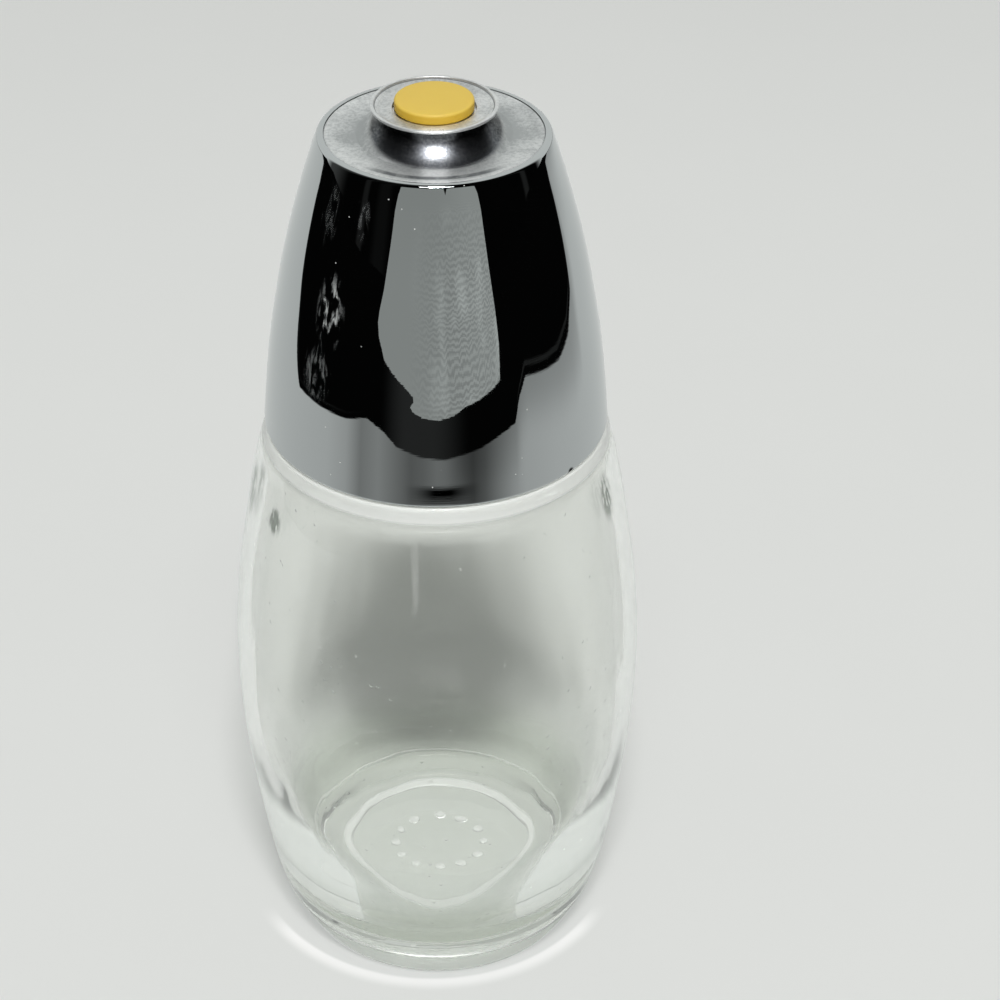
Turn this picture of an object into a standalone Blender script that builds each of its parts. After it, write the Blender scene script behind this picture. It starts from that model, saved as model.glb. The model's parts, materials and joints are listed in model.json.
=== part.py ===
"""Table dispenser for sugar: a glass jar with a screw-on plated cap and a small pouring flap.

All lengths are in metres, +Z is up and the origin is the centre of the jar's foot.
The front is -Y, and the flap's hinge lies at the back, under the mouth plate.
"""

import math

import bmesh
import bpy
import numpy as np
from mathutils import Matrix, Vector

# Jar
jar_belly_radius = 0.0383
jar_shoulder_height = 0.1138
jar_wall = 0.0028
jar_floor = 0.0098
jar_floor_radius = 0.0266
jar_floor_corner = 0.0016
jar_dish_radius = 0.0187
jar_dish_depth = 0.0015
jar_heel_corner = 0.0019
jar_heel_lean = 0.28
jar_heel_blend = 0.0010
jar_shoulder_edge = 0.0012
jar_kick_radius = 0.0185
jar_kick_depth = 0.0018
jar_kick_edge = 0.0010
jar_inner_shoulder_run = 0.0050
jar_inner_shoulder_drop = 0.0008
jar_side_shares = (
    (0.0000, 0.7200), (0.0167, 0.7467), (0.0545, 0.8042), (0.1054, 0.8551), (0.1757, 0.8956),
    (0.2724, 0.9386), (0.3954, 0.9817), (0.5009, 0.9985), (0.5500, 1.0000), (0.6810, 0.9765),
    (0.8170, 0.9190), (0.9227, 0.8630), (1.0000, 0.8040),
)

# Neck of the jar and its thread
neck_wall = 0.0030
neck_lip_margin = 0.00205
neck_foot_fillet = 0.0010
neck_lip_edge = 0.0009
thread_lead = 0.0050
thread_turns = 1.25
thread_depth = 0.0012
thread_root_width = 0.0018
thread_tip_width = 0.0008
thread_foot_margin = 0.0003
thread_runout_turns = 0.08
thread_root_sink = 0.0006
thread_runout_sink = 0.0002

# Screw collar and the sealing ring above the neck
collar_foot_gap = 0.0010
collar_wall = 0.0014
collar_roof_thickness = 0.0015
collar_roof_overhang = 0.0005
seal_thickness = 0.0014
seal_overhang = 0.0003

# Plated cap shell
cap_rim_radius = 0.0310
cap_rim_gap = 0.0004
cap_height = 0.0559
cap_wall = 0.00105
cap_top_edge = 0.0008
cap_side_shares = (
    (0.0000, 1.0000), (0.1200, 0.9820), (0.2860, 0.9490), (0.4526, 0.9000), (0.6190, 0.8405),
    (0.7850, 0.7640), (0.8960, 0.7045), (0.9624, 0.6660), (1.0000, 0.6405),
)

# Funnel inside the cap
funnel_wall = 0.0012
funnel_foot_ledge = 0.0036
funnel_foot_thickness = 0.0012
funnel_top_space = 0.0043
funnel_top_lip = 0.0010

# Spout plate: the cap's top face, the short trumpet neck and the mouth plate
annulus_thickness = 0.0009
plate_rim_depth = 0.0017
trumpet_wall = 0.0012
trumpet_fillet = 0.0026
trumpet_height = 0.0048
bead_overhang = 0.0013
bead_edge_height = 0.0012
bead_width = 0.0006
bead_height = 0.00035
mouth_radius = 0.0071
mouth_ledge = 0.0013
mouth_plate_thickness = 0.0007

# Flap seat: the tube under the mouth plate that carries the hinge pin
seat_landing = 0.0015
seat_flange_inset = 0.0003
seat_flange_thickness = 0.0012
seat_entry_flare = 0.0014
seat_slot_depth = 0.0034

# Flap
flap_side_gap = 0.00033
flap_rise = 0.00175
flap_landing = 0.0003
flap_top_edge = 0.00045
flap_opening_angle = math.radians(45)
flap_running_gap = 0.0002
hinge_setback = 0.0008
hinge_drop = 0.0020
knuckle_radius = 0.0010
knuckle_width = 0.0034
lug_reach = 0.0024

# Hinge pin
pin_radius = 0.0005
pin_end_recess = 0.0008
pin_clearance = 0.00015

# Gaps, and the overrun that every cutter has past the faces it cuts
seat_gap = 0.0003
side_gap = 0.0003
thread_gap = 0.0004
cut_overrun = 0.0010
weld_distance = 0.000001

# Counts, and how much the side's points crowd towards the foot
turn_steps = 40
small_turn_steps = 32
pin_steps = 16
corner_steps = 3
relief_cuts = 3
jar_side_steps = 13
jar_inner_side_steps = 11
jar_inner_shoulder_steps = 6
side_crowding = 1.6
cap_side_steps = 9

# Heights worked out from the sizes above, from the jar's shoulder up
cap_bottom = jar_shoulder_height + cap_rim_gap
collar_foot = cap_bottom + collar_foot_gap
collar_thread_start = collar_foot + thread_foot_margin + thread_root_width / 2
thread_flank_run = (thread_root_width + thread_tip_width) / 2
jar_thread_start = collar_thread_start + thread_flank_run + seat_gap
neck_top = jar_thread_start + thread_turns * thread_lead + thread_root_width / 2 + neck_lip_margin
seal_bottom = neck_top + seat_gap
collar_roof_bottom = seal_bottom + seal_thickness + seat_gap
collar_top = collar_roof_bottom + collar_roof_thickness
funnel_bottom = collar_top + seat_gap
funnel_foot_top = funnel_bottom + funnel_foot_thickness

# Heights from the cap's top down
cap_top = cap_bottom + cap_height
annulus_bottom = cap_top - annulus_thickness
bead_top = cap_top + trumpet_height
mouth_plate_top = bead_top - bead_height
mouth_plate_bottom = mouth_plate_top - mouth_plate_thickness
seat_top = mouth_plate_bottom - seat_gap
seat_flange_top = annulus_bottom - seat_gap
seat_bottom = seat_flange_top - seat_flange_thickness
funnel_top = seat_bottom - seat_gap
flap_top = mouth_plate_top + flap_rise
flap_bottom = seat_top + seat_gap
hinge_height = mouth_plate_top - hinge_drop


def curve_through(shares, height, radius):
    """Return a smooth radius-at-height function through a table of shares."""
    heights = np.array([share * height for share, _ in shares])
    radii = np.array([share * radius for _, share in shares])
    slopes = np.gradient(radii, heights)

    def radius_at(z):
        z = min(max(z, heights[0]), heights[-1])
        k = min(int(np.searchsorted(heights, z, side="right")) - 1, len(heights) - 2)
        span = heights[k + 1] - heights[k]
        t = (z - heights[k]) / span
        return float(
            (2 * t**3 - 3 * t**2 + 1) * radii[k]
            + (t**3 - 2 * t**2 + t) * span * slopes[k]
            + (3 * t**2 - 2 * t**3) * radii[k + 1]
            + (t**3 - t**2) * span * slopes[k + 1]
        )

    return radius_at


jar_radius_at = curve_through(jar_side_shares, jar_shoulder_height, jar_belly_radius)
cap_curve = curve_through(cap_side_shares, cap_height, cap_rim_radius)


def cap_radius_at(z):
    return cap_curve(z - cap_bottom)


def cap_inside_at(z):
    return cap_radius_at(z) - cap_wall


# Radii of the closure, from the cap shell inwards
collar_bore_radius = cap_inside_at(collar_top) - side_gap - collar_wall
neck_radius = collar_bore_radius - thread_gap - thread_depth
neck_bore_radius = neck_radius - neck_wall
collar_roof_bore_radius = neck_bore_radius - collar_roof_overhang
funnel_flange_radius = cap_inside_at(funnel_foot_top) - side_gap
funnel_foot_radius = funnel_flange_radius - funnel_foot_ledge
funnel_top_radius = cap_inside_at(funnel_top) - funnel_top_space
seat_flange_radius = funnel_top_radius - seat_flange_inset

# Radii of the spout, from the mouth outwards and inwards
trumpet_bore_radius = mouth_radius + mouth_ledge
trumpet_radius = trumpet_bore_radius + trumpet_wall
bead_radius = trumpet_radius + bead_overhang
seat_tube_radius = trumpet_bore_radius - side_gap
seat_bore_radius = mouth_radius - seat_landing
flap_radius = mouth_radius - flap_side_gap
flap_plug_radius = seat_bore_radius + flap_landing
hinge_inset = mouth_radius - hinge_setback
pin_hole_radius = pin_radius + pin_clearance
pin_length = 2 * (math.sqrt(seat_tube_radius**2 - hinge_inset**2) - pin_end_recess)


def filleted(corners, closed=True):
    """Turn corners (radius, height, fillet) into outline points, with an arc at each fillet."""
    points = []
    count = len(corners)
    for index, (r, z, fillet) in enumerate(corners):
        corner = Vector((r, z))
        is_end = not closed and index in (0, count - 1)
        if is_end or fillet <= 0:
            points.append(corner)
            continue
        before = Vector(corners[index - 1][:2]) - corner
        after = Vector(corners[(index + 1) % count][:2]) - corner
        half_angle = before.angle(after) / 2
        reach = min(fillet / math.tan(half_angle), before.length / 2, after.length / 2)
        radius = reach * math.tan(half_angle)
        towards_middle = (before.normalized() + after.normalized()).normalized()
        middle = corner + towards_middle * math.hypot(reach, radius)
        start = corner + before.normalized() * reach - middle
        turn = math.pi - 2 * half_angle
        side = math.copysign(1, before.x * after.y - before.y * after.x)
        for step in range(corner_steps + 1):
            arm = start.copy()
            arm.rotate(Matrix.Rotation(-side * turn * step / corner_steps, 2))
            points.append(middle + arm)
    return points


def new_object(name, mesh, material=None):
    thing = bpy.data.objects.new(name, mesh)
    bpy.context.collection.objects.link(thing)
    if material:
        mesh.materials.append(material)
    return thing


def finish_mesh(name, bm):
    """Weld, turn the faces outwards and shade smooth except at sharp edges."""
    bmesh.ops.remove_doubles(bm, verts=bm.verts, dist=weld_distance)
    bmesh.ops.recalc_face_normals(bm, faces=bm.faces)
    mesh = bpy.data.meshes.new(name)
    bm.to_mesh(mesh)
    bm.free()
    mesh.shade_smooth()
    mesh.set_sharp_from_angle(angle=math.radians(35))
    return mesh


def turned_mesh(name, outline, steps, closed=True):
    """Spin an outline in the XZ plane once round +Z."""
    bm = bmesh.new()
    verts = [bm.verts.new((point[0], 0, point[1])) for point in outline]
    edges = [bm.edges.new(pair) for pair in zip(verts, verts[1:])]
    if closed:
        edges.append(bm.edges.new((verts[-1], verts[0])))
    bmesh.ops.spin(
        bm, geom=verts + edges, cent=(0, 0, 0), axis=(0, 0, 1), dvec=(0, 0, 0),
        angle=2 * math.pi, steps=steps, use_merge=True,
    )
    return finish_mesh(name, bm)


def prism_mesh(name, outline, width):
    """Extrude an outline of (y, z) points by a width along X, centred on X = 0."""
    bm = bmesh.new()
    face = bm.faces.new([bm.verts.new((-width / 2, y, z)) for y, z in outline])
    grown = bmesh.ops.extrude_face_region(bm, geom=[face])
    moved = [item for item in grown["geom"] if isinstance(item, bmesh.types.BMVert)]
    bmesh.ops.translate(bm, verts=moved, vec=(width, 0, 0))
    return finish_mesh(name, bm)


def rod_mesh(name, radius, length, steps):
    """A round rod along X, centred on the origin."""
    bm = bmesh.new()
    bmesh.ops.create_cone(
        bm, cap_ends=True, segments=steps, radius1=radius, radius2=radius, depth=length,
        matrix=Matrix.Rotation(math.pi / 2, 4, "Y"),
    )
    return finish_mesh(name, bm)


def thread_mesh(name, wall_radius, outward, start_height):
    """A helical ridge on a round wall, sunk into it and fading out at both ends."""
    bm = bmesh.new()
    steps = round(thread_turns * turn_steps)
    runout_steps = thread_runout_turns * turn_steps
    rings = []
    for step in range(steps + 1):
        angle = 2 * math.pi * step / turn_steps
        height = start_height + thread_lead * step / turn_steps
        growth = min(1, step / runout_steps, (steps - step) / runout_steps)
        root = wall_radius - outward * thread_root_sink
        tip = wall_radius + outward * (growth * (thread_depth + thread_runout_sink) - thread_runout_sink)
        section = (
            (root, -thread_root_width / 2), (tip, -thread_tip_width / 2),
            (tip, thread_tip_width / 2), (root, thread_root_width / 2),
        )
        rings.append([
            bm.verts.new((r * math.cos(angle), r * math.sin(angle), height + rise)) for r, rise in section
        ])
    for ring, following in zip(rings, rings[1:]):
        for k in range(len(ring)):
            after = (k + 1) % len(ring)
            bm.faces.new((ring[k], ring[after], following[after], following[k]))
    bm.faces.new(rings[0])
    bm.faces.new(rings[-1])
    return finish_mesh(name, bm)


def boolean(thing, operand, operation):
    """Join or cut a shape with another, which stays in the file as a hidden guide."""
    operand.hide_render = True
    operand.display_type = "WIRE"
    step = thing.modifiers.new(operand.name, "BOOLEAN")
    step.operation = operation
    step.solver = "EXACT"
    step.object = operand


def principled(name, colour, roughness, metallic=0, transmission=0):
    material = bpy.data.materials.new(name)
    material.use_nodes = True
    shader = material.node_tree.nodes["Principled BSDF"]
    shader.inputs["Base Color"].default_value = (*colour, 1)
    shader.inputs["Roughness"].default_value = roughness
    shader.inputs["Metallic"].default_value = metallic
    shader.inputs["Transmission Weight"].default_value = transmission
    material.diffuse_color = (*colour, 1)
    return material


def clear_glass():
    return principled("clear_glass", (0.93, 0.96, 0.94), 0.02, transmission=1)


def plated_chrome():
    return principled("plated_chrome", (0.78, 0.79, 0.80), 0.08, metallic=1)


def yellow_plastic():
    return principled("yellow_plastic", (0.78, 0.55, 0.12), 0.35)


def white_plastic():
    return principled("white_plastic", (0.80, 0.80, 0.77), 0.45)


def soft_seal():
    return principled("soft_seal", (0.62, 0.62, 0.60), 0.70)


def pin_steel():
    return principled("pin_steel", (0.62, 0.62, 0.63), 0.25, metallic=1)


def jar_inside_at(z):
    """Radius of the jar's hollow: it leans in to the thick heel and closes in to the neck."""
    even = jar_radius_at(z) - jar_wall
    leaning = jar_floor_radius + (z - jar_floor) * jar_heel_lean
    wall_side = (even + leaning - math.hypot(even - leaning, jar_heel_blend)) / 2
    top = jar_shoulder_height - jar_inner_shoulder_drop
    rise = min(max((z - top + jar_inner_shoulder_run) / jar_inner_shoulder_run, 0), 1)
    blend = rise**2 * (3 - 2 * rise)
    return wall_side * (1 - blend) + neck_bore_radius * blend


def crowded_heights(low, high, count):
    """Heights from low to high that lie closer together near low, where the side bends most."""
    return [low + (high - low) * (step / (count - 1)) ** side_crowding for step in range(count)]


def jar_outline():
    side_top = jar_shoulder_height - 2 * jar_shoulder_edge
    corner_top = jar_floor + jar_floor_corner
    inner_top = jar_shoulder_height - jar_inner_shoulder_drop
    outline = [
        (0, jar_kick_depth, 0),
        (jar_kick_radius, jar_kick_depth, jar_kick_edge),
        (jar_kick_radius + jar_kick_depth, 0, jar_kick_edge),
        (jar_radius_at(0), 0, jar_heel_corner),
    ]
    for z in crowded_heights(jar_heel_corner, side_top, jar_side_steps):
        outline.append((jar_radius_at(z), z, 0))
    outline += [
        (jar_radius_at(jar_shoulder_height), jar_shoulder_height, jar_shoulder_edge),
        (neck_radius, jar_shoulder_height, neck_foot_fillet),
        (neck_radius, neck_top, neck_lip_edge),
        (neck_bore_radius, neck_top, neck_lip_edge),
    ]
    shoulder_start = inner_top - jar_inner_shoulder_run
    for z in np.linspace(inner_top, shoulder_start, jar_inner_shoulder_steps + 1)[:-1]:
        outline.append((jar_inside_at(z), z, 0))
    for z in reversed(crowded_heights(corner_top, shoulder_start, jar_inner_side_steps)):
        outline.append((jar_inside_at(z), z, 0))
    corner_radius = jar_inside_at(corner_top) - jar_floor_corner
    for step in range(1, corner_steps + 1):
        angle = math.pi / 2 * step / corner_steps
        across = jar_floor_corner * math.cos(angle)
        down = jar_floor_corner * math.sin(angle)
        outline.append((corner_radius + across, corner_top - down, 0))
    outline.append((jar_dish_radius, jar_floor - jar_dish_depth, 0))
    outline.append((0, jar_floor - jar_dish_depth, 0))
    return filleted(outline, closed=False)


def make_glass_jar():
    mesh = turned_mesh("glass_jar", jar_outline(), turn_steps, closed=False)
    jar = new_object("glass_jar", mesh, clear_glass())
    ridge = thread_mesh("jar_thread", neck_radius, 1, jar_thread_start)
    boolean(jar, new_object("jar_thread", ridge), "UNION")
    return jar


def make_sealing_ring():
    """A flat ring that the collar presses on the neck's lip."""
    inner = neck_bore_radius - seal_overhang
    outer = neck_radius + seal_overhang
    top = seal_bottom + seal_thickness
    outline = [(inner, seal_bottom), (outer, seal_bottom), (outer, top), (inner, top)]
    return new_object("sealing_ring", turned_mesh("sealing_ring", outline, turn_steps), soft_seal())


def make_threaded_collar():
    """The collar's ridge hangs under the jar's ridge, one flank gap away, on the same helix."""
    outline = filleted([
        (collar_bore_radius, collar_foot, 0),
        (cap_inside_at(collar_foot) - side_gap, collar_foot, 0),
        (cap_inside_at(collar_top) - side_gap, collar_top, 0),
        (collar_roof_bore_radius, collar_top, 0),
        (collar_roof_bore_radius, collar_roof_bottom, 0),
        (collar_bore_radius, collar_roof_bottom, 0),
    ])
    mesh = turned_mesh("threaded_collar", outline, turn_steps)
    collar = new_object("threaded_collar", mesh, white_plastic())
    ridge = thread_mesh("collar_thread", collar_bore_radius, -1, collar_thread_start)
    boolean(collar, new_object("collar_thread", ridge), "UNION")
    return collar


def make_cap_shell():
    """The bullet-shaped outer shell, open at the foot and at the top."""
    outline = []
    heights = np.linspace(cap_bottom, cap_top - 2 * cap_top_edge, cap_side_steps)
    for z in heights:
        outline.append((cap_radius_at(z), z, 0))
    outline.append((cap_radius_at(cap_top), cap_top, cap_top_edge))
    outline.append((cap_inside_at(cap_top), cap_top, 0))
    for z in reversed(heights):
        outline.append((cap_inside_at(z), z, 0))
    mesh = turned_mesh("cap_shell", filleted(outline), turn_steps)
    return new_object("cap_shell", mesh, plated_chrome())


def make_inner_funnel():
    """A cone that leads the sugar to the spout and holds the spout plate up in the shell."""
    outline = filleted([
        (funnel_foot_radius - funnel_wall, funnel_bottom, 0),
        (funnel_flange_radius, funnel_bottom, 0),
        (funnel_flange_radius, funnel_foot_top, 0),
        (funnel_foot_radius, funnel_foot_top, funnel_wall),
        (funnel_top_radius, funnel_top - funnel_top_lip, 0),
        (funnel_top_radius, funnel_top, 0),
        (funnel_top_radius - funnel_wall, funnel_top, 0),
        (funnel_top_radius - funnel_wall, funnel_top - funnel_top_lip, 0),
    ])
    mesh = turned_mesh("inner_funnel", outline, turn_steps)
    return new_object("inner_funnel", mesh, white_plastic())


def make_spout_plate():
    """The cap's top face with its trumpet neck, raised bead and round mouth, as one pressing."""
    rim_bottom = cap_top - plate_rim_depth
    rim_top_radius = cap_inside_at(cap_top) - side_gap
    rim_foot_radius = cap_inside_at(rim_bottom) - side_gap
    bead_bottom = bead_top - bead_edge_height
    bead_inner = bead_radius - bead_width
    outline = filleted([
        (mouth_radius, mouth_plate_bottom, 0),
        (trumpet_bore_radius, mouth_plate_bottom, 0),
        (trumpet_bore_radius, annulus_bottom, trumpet_fillet - trumpet_wall),
        (rim_foot_radius - annulus_thickness, annulus_bottom, 0),
        (rim_foot_radius - annulus_thickness, rim_bottom, 0),
        (rim_foot_radius, rim_bottom, 0),
        (rim_top_radius, cap_top, 0),
        (trumpet_radius, cap_top, trumpet_fillet),
        (trumpet_radius, bead_bottom, bead_width),
        (bead_radius, bead_bottom, bead_width),
        (bead_radius, bead_top, bead_height),
        (bead_inner, bead_top, bead_height),
        (bead_inner - bead_height, mouth_plate_top, 0),
        (mouth_radius, mouth_plate_top, 0),
    ])
    mesh = turned_mesh("spout_plate", outline, turn_steps)
    return new_object("spout_plate", mesh, plated_chrome())


def make_flap_seat():
    """A flanged tube: the flap closes on its top, and its back wall is slotted for the knuckle."""
    outline = filleted([
        (seat_bore_radius + seat_entry_flare, seat_bottom, 0),
        (seat_flange_radius, seat_bottom, 0),
        (seat_flange_radius, seat_flange_top, 0),
        (seat_tube_radius, seat_flange_top, 0),
        (seat_tube_radius, seat_top, 0),
        (seat_bore_radius, seat_top, 0),
        (seat_bore_radius, seat_bottom + seat_entry_flare, 0),
    ])
    mesh = turned_mesh("flap_seat", outline, small_turn_steps)
    seat = new_object("flap_seat", mesh, white_plastic())
    slot_floor = seat_top - seat_slot_depth
    slot_front = seat_bore_radius * math.cos(math.asin(knuckle_width / 2 / seat_bore_radius)) - cut_overrun
    slot_back = seat_tube_radius + cut_overrun
    slot_outline = [
        (slot_front, slot_floor), (slot_back, slot_floor),
        (slot_back, seat_top + cut_overrun), (slot_front, seat_top + cut_overrun),
    ]
    slot = prism_mesh("knuckle_slot", slot_outline, knuckle_width + 2 * side_gap)
    boolean(seat, new_object("knuckle_slot", slot), "DIFFERENCE")
    hole = rod_mesh("pin_hole", pin_hole_radius, 2 * seat_tube_radius, pin_steps)
    hole_guide = new_object("pin_hole", hole)
    hole_guide.location = (0, hinge_inset, hinge_height)
    boolean(seat, hole_guide, "DIFFERENCE")
    return seat


def lug_outline():
    """The arm from the knuckle up to the flap's underside, as (y, z) from the hinge axis.

    Its back stays in front of the line that the mouth's edge reaches when the flap is open.
    """
    underside = flap_bottom - hinge_height
    buried = (underside + hinge_drop) / 2
    edge = math.sqrt(mouth_radius**2 - (knuckle_width / 2)**2) - hinge_inset - flap_running_gap

    def back_at(height):
        return (edge - height * math.sin(flap_opening_angle)) / math.cos(flap_opening_angle)

    return [
        (0, 0),
        (back_at(knuckle_radius), knuckle_radius),
        (back_at(underside), underside),
        (back_at(buried) - flap_running_gap, buried),
        (-lug_reach, buried),
        (-lug_reach, underside),
        (-knuckle_radius, 0),
    ]


def plate_relief(turn_share):
    """The room that the mouth plate needs in the flap at a share of its opening."""
    outline = [
        (mouth_radius - flap_running_gap, mouth_plate_bottom - flap_running_gap),
        (bead_radius, mouth_plate_bottom - flap_running_gap),
        (bead_radius, mouth_plate_top + flap_running_gap),
        (mouth_radius - flap_running_gap, mouth_plate_top + flap_running_gap),
    ]
    name = f"plate_relief_{round(turn_share * relief_cuts)}"
    mesh = turned_mesh(name, outline, small_turn_steps)
    mesh.transform(Matrix.Translation((0, -hinge_inset, -hinge_height)))
    mesh.transform(Matrix.Rotation(turn_share * flap_opening_angle, 4, "X"))
    return new_object(name, mesh)


def make_pour_flap():
    """A plug-shaped disc on a cranked lug. Its own origin lies on the hinge axis."""
    outline = filleted([
        (0, flap_bottom - hinge_height, 0),
        (flap_plug_radius, flap_bottom - hinge_height, 0),
        (flap_radius, mouth_plate_top - hinge_height, 0),
        (flap_radius, flap_top - hinge_height, flap_top_edge),
        (0, flap_top - hinge_height, 0),
    ], closed=False)
    mesh = turned_mesh("pour_flap", outline, turn_steps, closed=False)
    mesh.transform(Matrix.Translation((0, -hinge_inset, 0)))
    flap = new_object("pour_flap", mesh, yellow_plastic())
    reliefs = [plate_relief(cut / relief_cuts) for cut in range(1, relief_cuts + 1)]
    lug = new_object("flap_lug", prism_mesh("flap_lug", lug_outline(), knuckle_width))
    knuckle = new_object("knuckle", rod_mesh("knuckle", knuckle_radius, knuckle_width, pin_steps))
    bore_mesh = rod_mesh("knuckle_bore", pin_hole_radius, 2 * knuckle_width, pin_steps)
    bore = new_object("knuckle_bore", bore_mesh)
    for relief in reliefs:
        boolean(flap, relief, "DIFFERENCE")
    boolean(flap, lug, "UNION")
    boolean(flap, knuckle, "UNION")
    boolean(flap, bore, "DIFFERENCE")
    for piece in (flap, *reliefs, lug, knuckle, bore):
        piece.location = (0, hinge_inset, hinge_height)
    return flap


def make_hinge_pin():
    pin = new_object("hinge_pin", rod_mesh("hinge_pin", pin_radius, pin_length, pin_steps), pin_steel())
    pin.location = (0, hinge_inset, hinge_height)
    return pin


def clear_scene():
    for thing in list(bpy.data.objects):
        bpy.data.objects.remove(thing, do_unlink=True)


def build_dispenser():
    clear_scene()
    make_glass_jar()
    make_sealing_ring()
    make_threaded_collar()
    make_cap_shell()
    make_inner_funnel()
    make_spout_plate()
    make_flap_seat()
    make_hinge_pin()
    make_pour_flap()


build_dispenser()
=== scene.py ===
import json
import math

import bpy
from bpy.props import FloatProperty, FloatVectorProperty, IntProperty, PointerProperty
from mathutils import Matrix, Vector


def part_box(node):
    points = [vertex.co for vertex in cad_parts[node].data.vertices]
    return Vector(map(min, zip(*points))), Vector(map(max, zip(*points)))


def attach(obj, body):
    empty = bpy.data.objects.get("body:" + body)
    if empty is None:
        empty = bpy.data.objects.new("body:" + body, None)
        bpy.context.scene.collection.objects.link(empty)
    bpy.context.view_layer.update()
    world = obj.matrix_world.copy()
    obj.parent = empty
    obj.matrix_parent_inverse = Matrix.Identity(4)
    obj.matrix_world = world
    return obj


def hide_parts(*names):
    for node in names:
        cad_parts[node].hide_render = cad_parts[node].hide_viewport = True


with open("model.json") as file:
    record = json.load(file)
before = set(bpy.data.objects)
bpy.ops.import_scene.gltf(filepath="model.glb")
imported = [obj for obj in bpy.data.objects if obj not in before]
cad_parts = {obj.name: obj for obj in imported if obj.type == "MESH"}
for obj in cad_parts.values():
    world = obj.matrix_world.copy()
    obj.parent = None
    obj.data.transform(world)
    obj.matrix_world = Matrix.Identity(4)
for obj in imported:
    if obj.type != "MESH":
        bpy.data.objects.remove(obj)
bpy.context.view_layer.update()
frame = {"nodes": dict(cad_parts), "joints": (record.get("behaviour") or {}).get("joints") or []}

bl_info = {
    "name": "Sugar dispenser with flap",
    "version": (1, 0, 0),
    "blender": (4, 5, 0),
    "location": "View3D > Sidebar > Dispenser",
    "description": "Dresses the dispenser's solids: pressed glass, plated cap, satin spout and yellow flap",
    "category": "Object",
}

_, jar_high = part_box("glass_jar")
shell_low, shell_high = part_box("cap_shell")
plate_low, plate_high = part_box("spout_plate")
flap_low, flap_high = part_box("pour_flap")
_, seat_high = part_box("flap_seat")
flap_joint = next(joint for joint in frame["joints"] if joint["name"] == "flap_hinge")

# Shares of the shoulder's height and of the belly's radius, from the foot up
jar_side_shares = (
    (0.0000, 0.7200), (0.0167, 0.7467), (0.0545, 0.8042), (0.1054, 0.8551), (0.1757, 0.8956),
    (0.2724, 0.9386), (0.3954, 0.9817), (0.5009, 0.9985), (0.5500, 1.0000), (0.6810, 0.9765),
    (0.8170, 0.9190), (0.9227, 0.8630), (1.0000, 0.8040),
)
# Shares of the cap's height and of its rim's radius, from the rim up
cap_side_shares = (
    (0.0000, 1.0000), (0.1200, 0.9820), (0.2860, 0.9490), (0.4526, 0.9000), (0.6190, 0.8405),
    (0.7850, 0.7640), (0.8960, 0.7045), (0.9624, 0.6660), (1.0000, 0.6405),
)
# Shares of the trumpet neck's height and of its foot's radius, from the foot up
neck_side_shares = (
    (0.0000, 1.0000), (0.0619, 0.9658), (0.1237, 0.9353), (0.2062, 0.8998), (0.2887, 0.8684),
    (0.4124, 0.8269), (0.5361, 0.7895), (0.6598, 0.7602), (0.8247, 0.7376), (1.0000, 0.7293),
)


def length(name, description, default):
    """A size in metres, as the sidebar shows it."""
    return FloatProperty(name=name, description=description, default=default, unit="LENGTH", precision=5)


def colour(name, description, default):
    """A colour in linear light, as the sidebar shows it."""
    return FloatVectorProperty(name=name, description=description, default=default, subtype="COLOR", size=3)


def number(name, description, default, least):
    """A whole number, as the sidebar shows it."""
    return IntProperty(name=name, description=description, default=default, min=least)


def degrees(name, description, default):
    """An angle, given in degrees."""
    return FloatProperty(name=name, description=description, default=math.radians(default), subtype="ANGLE")


def amount(name, description, default):
    """A number without a unit of its own."""
    return FloatProperty(name=name, description=description, default=default)


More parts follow.
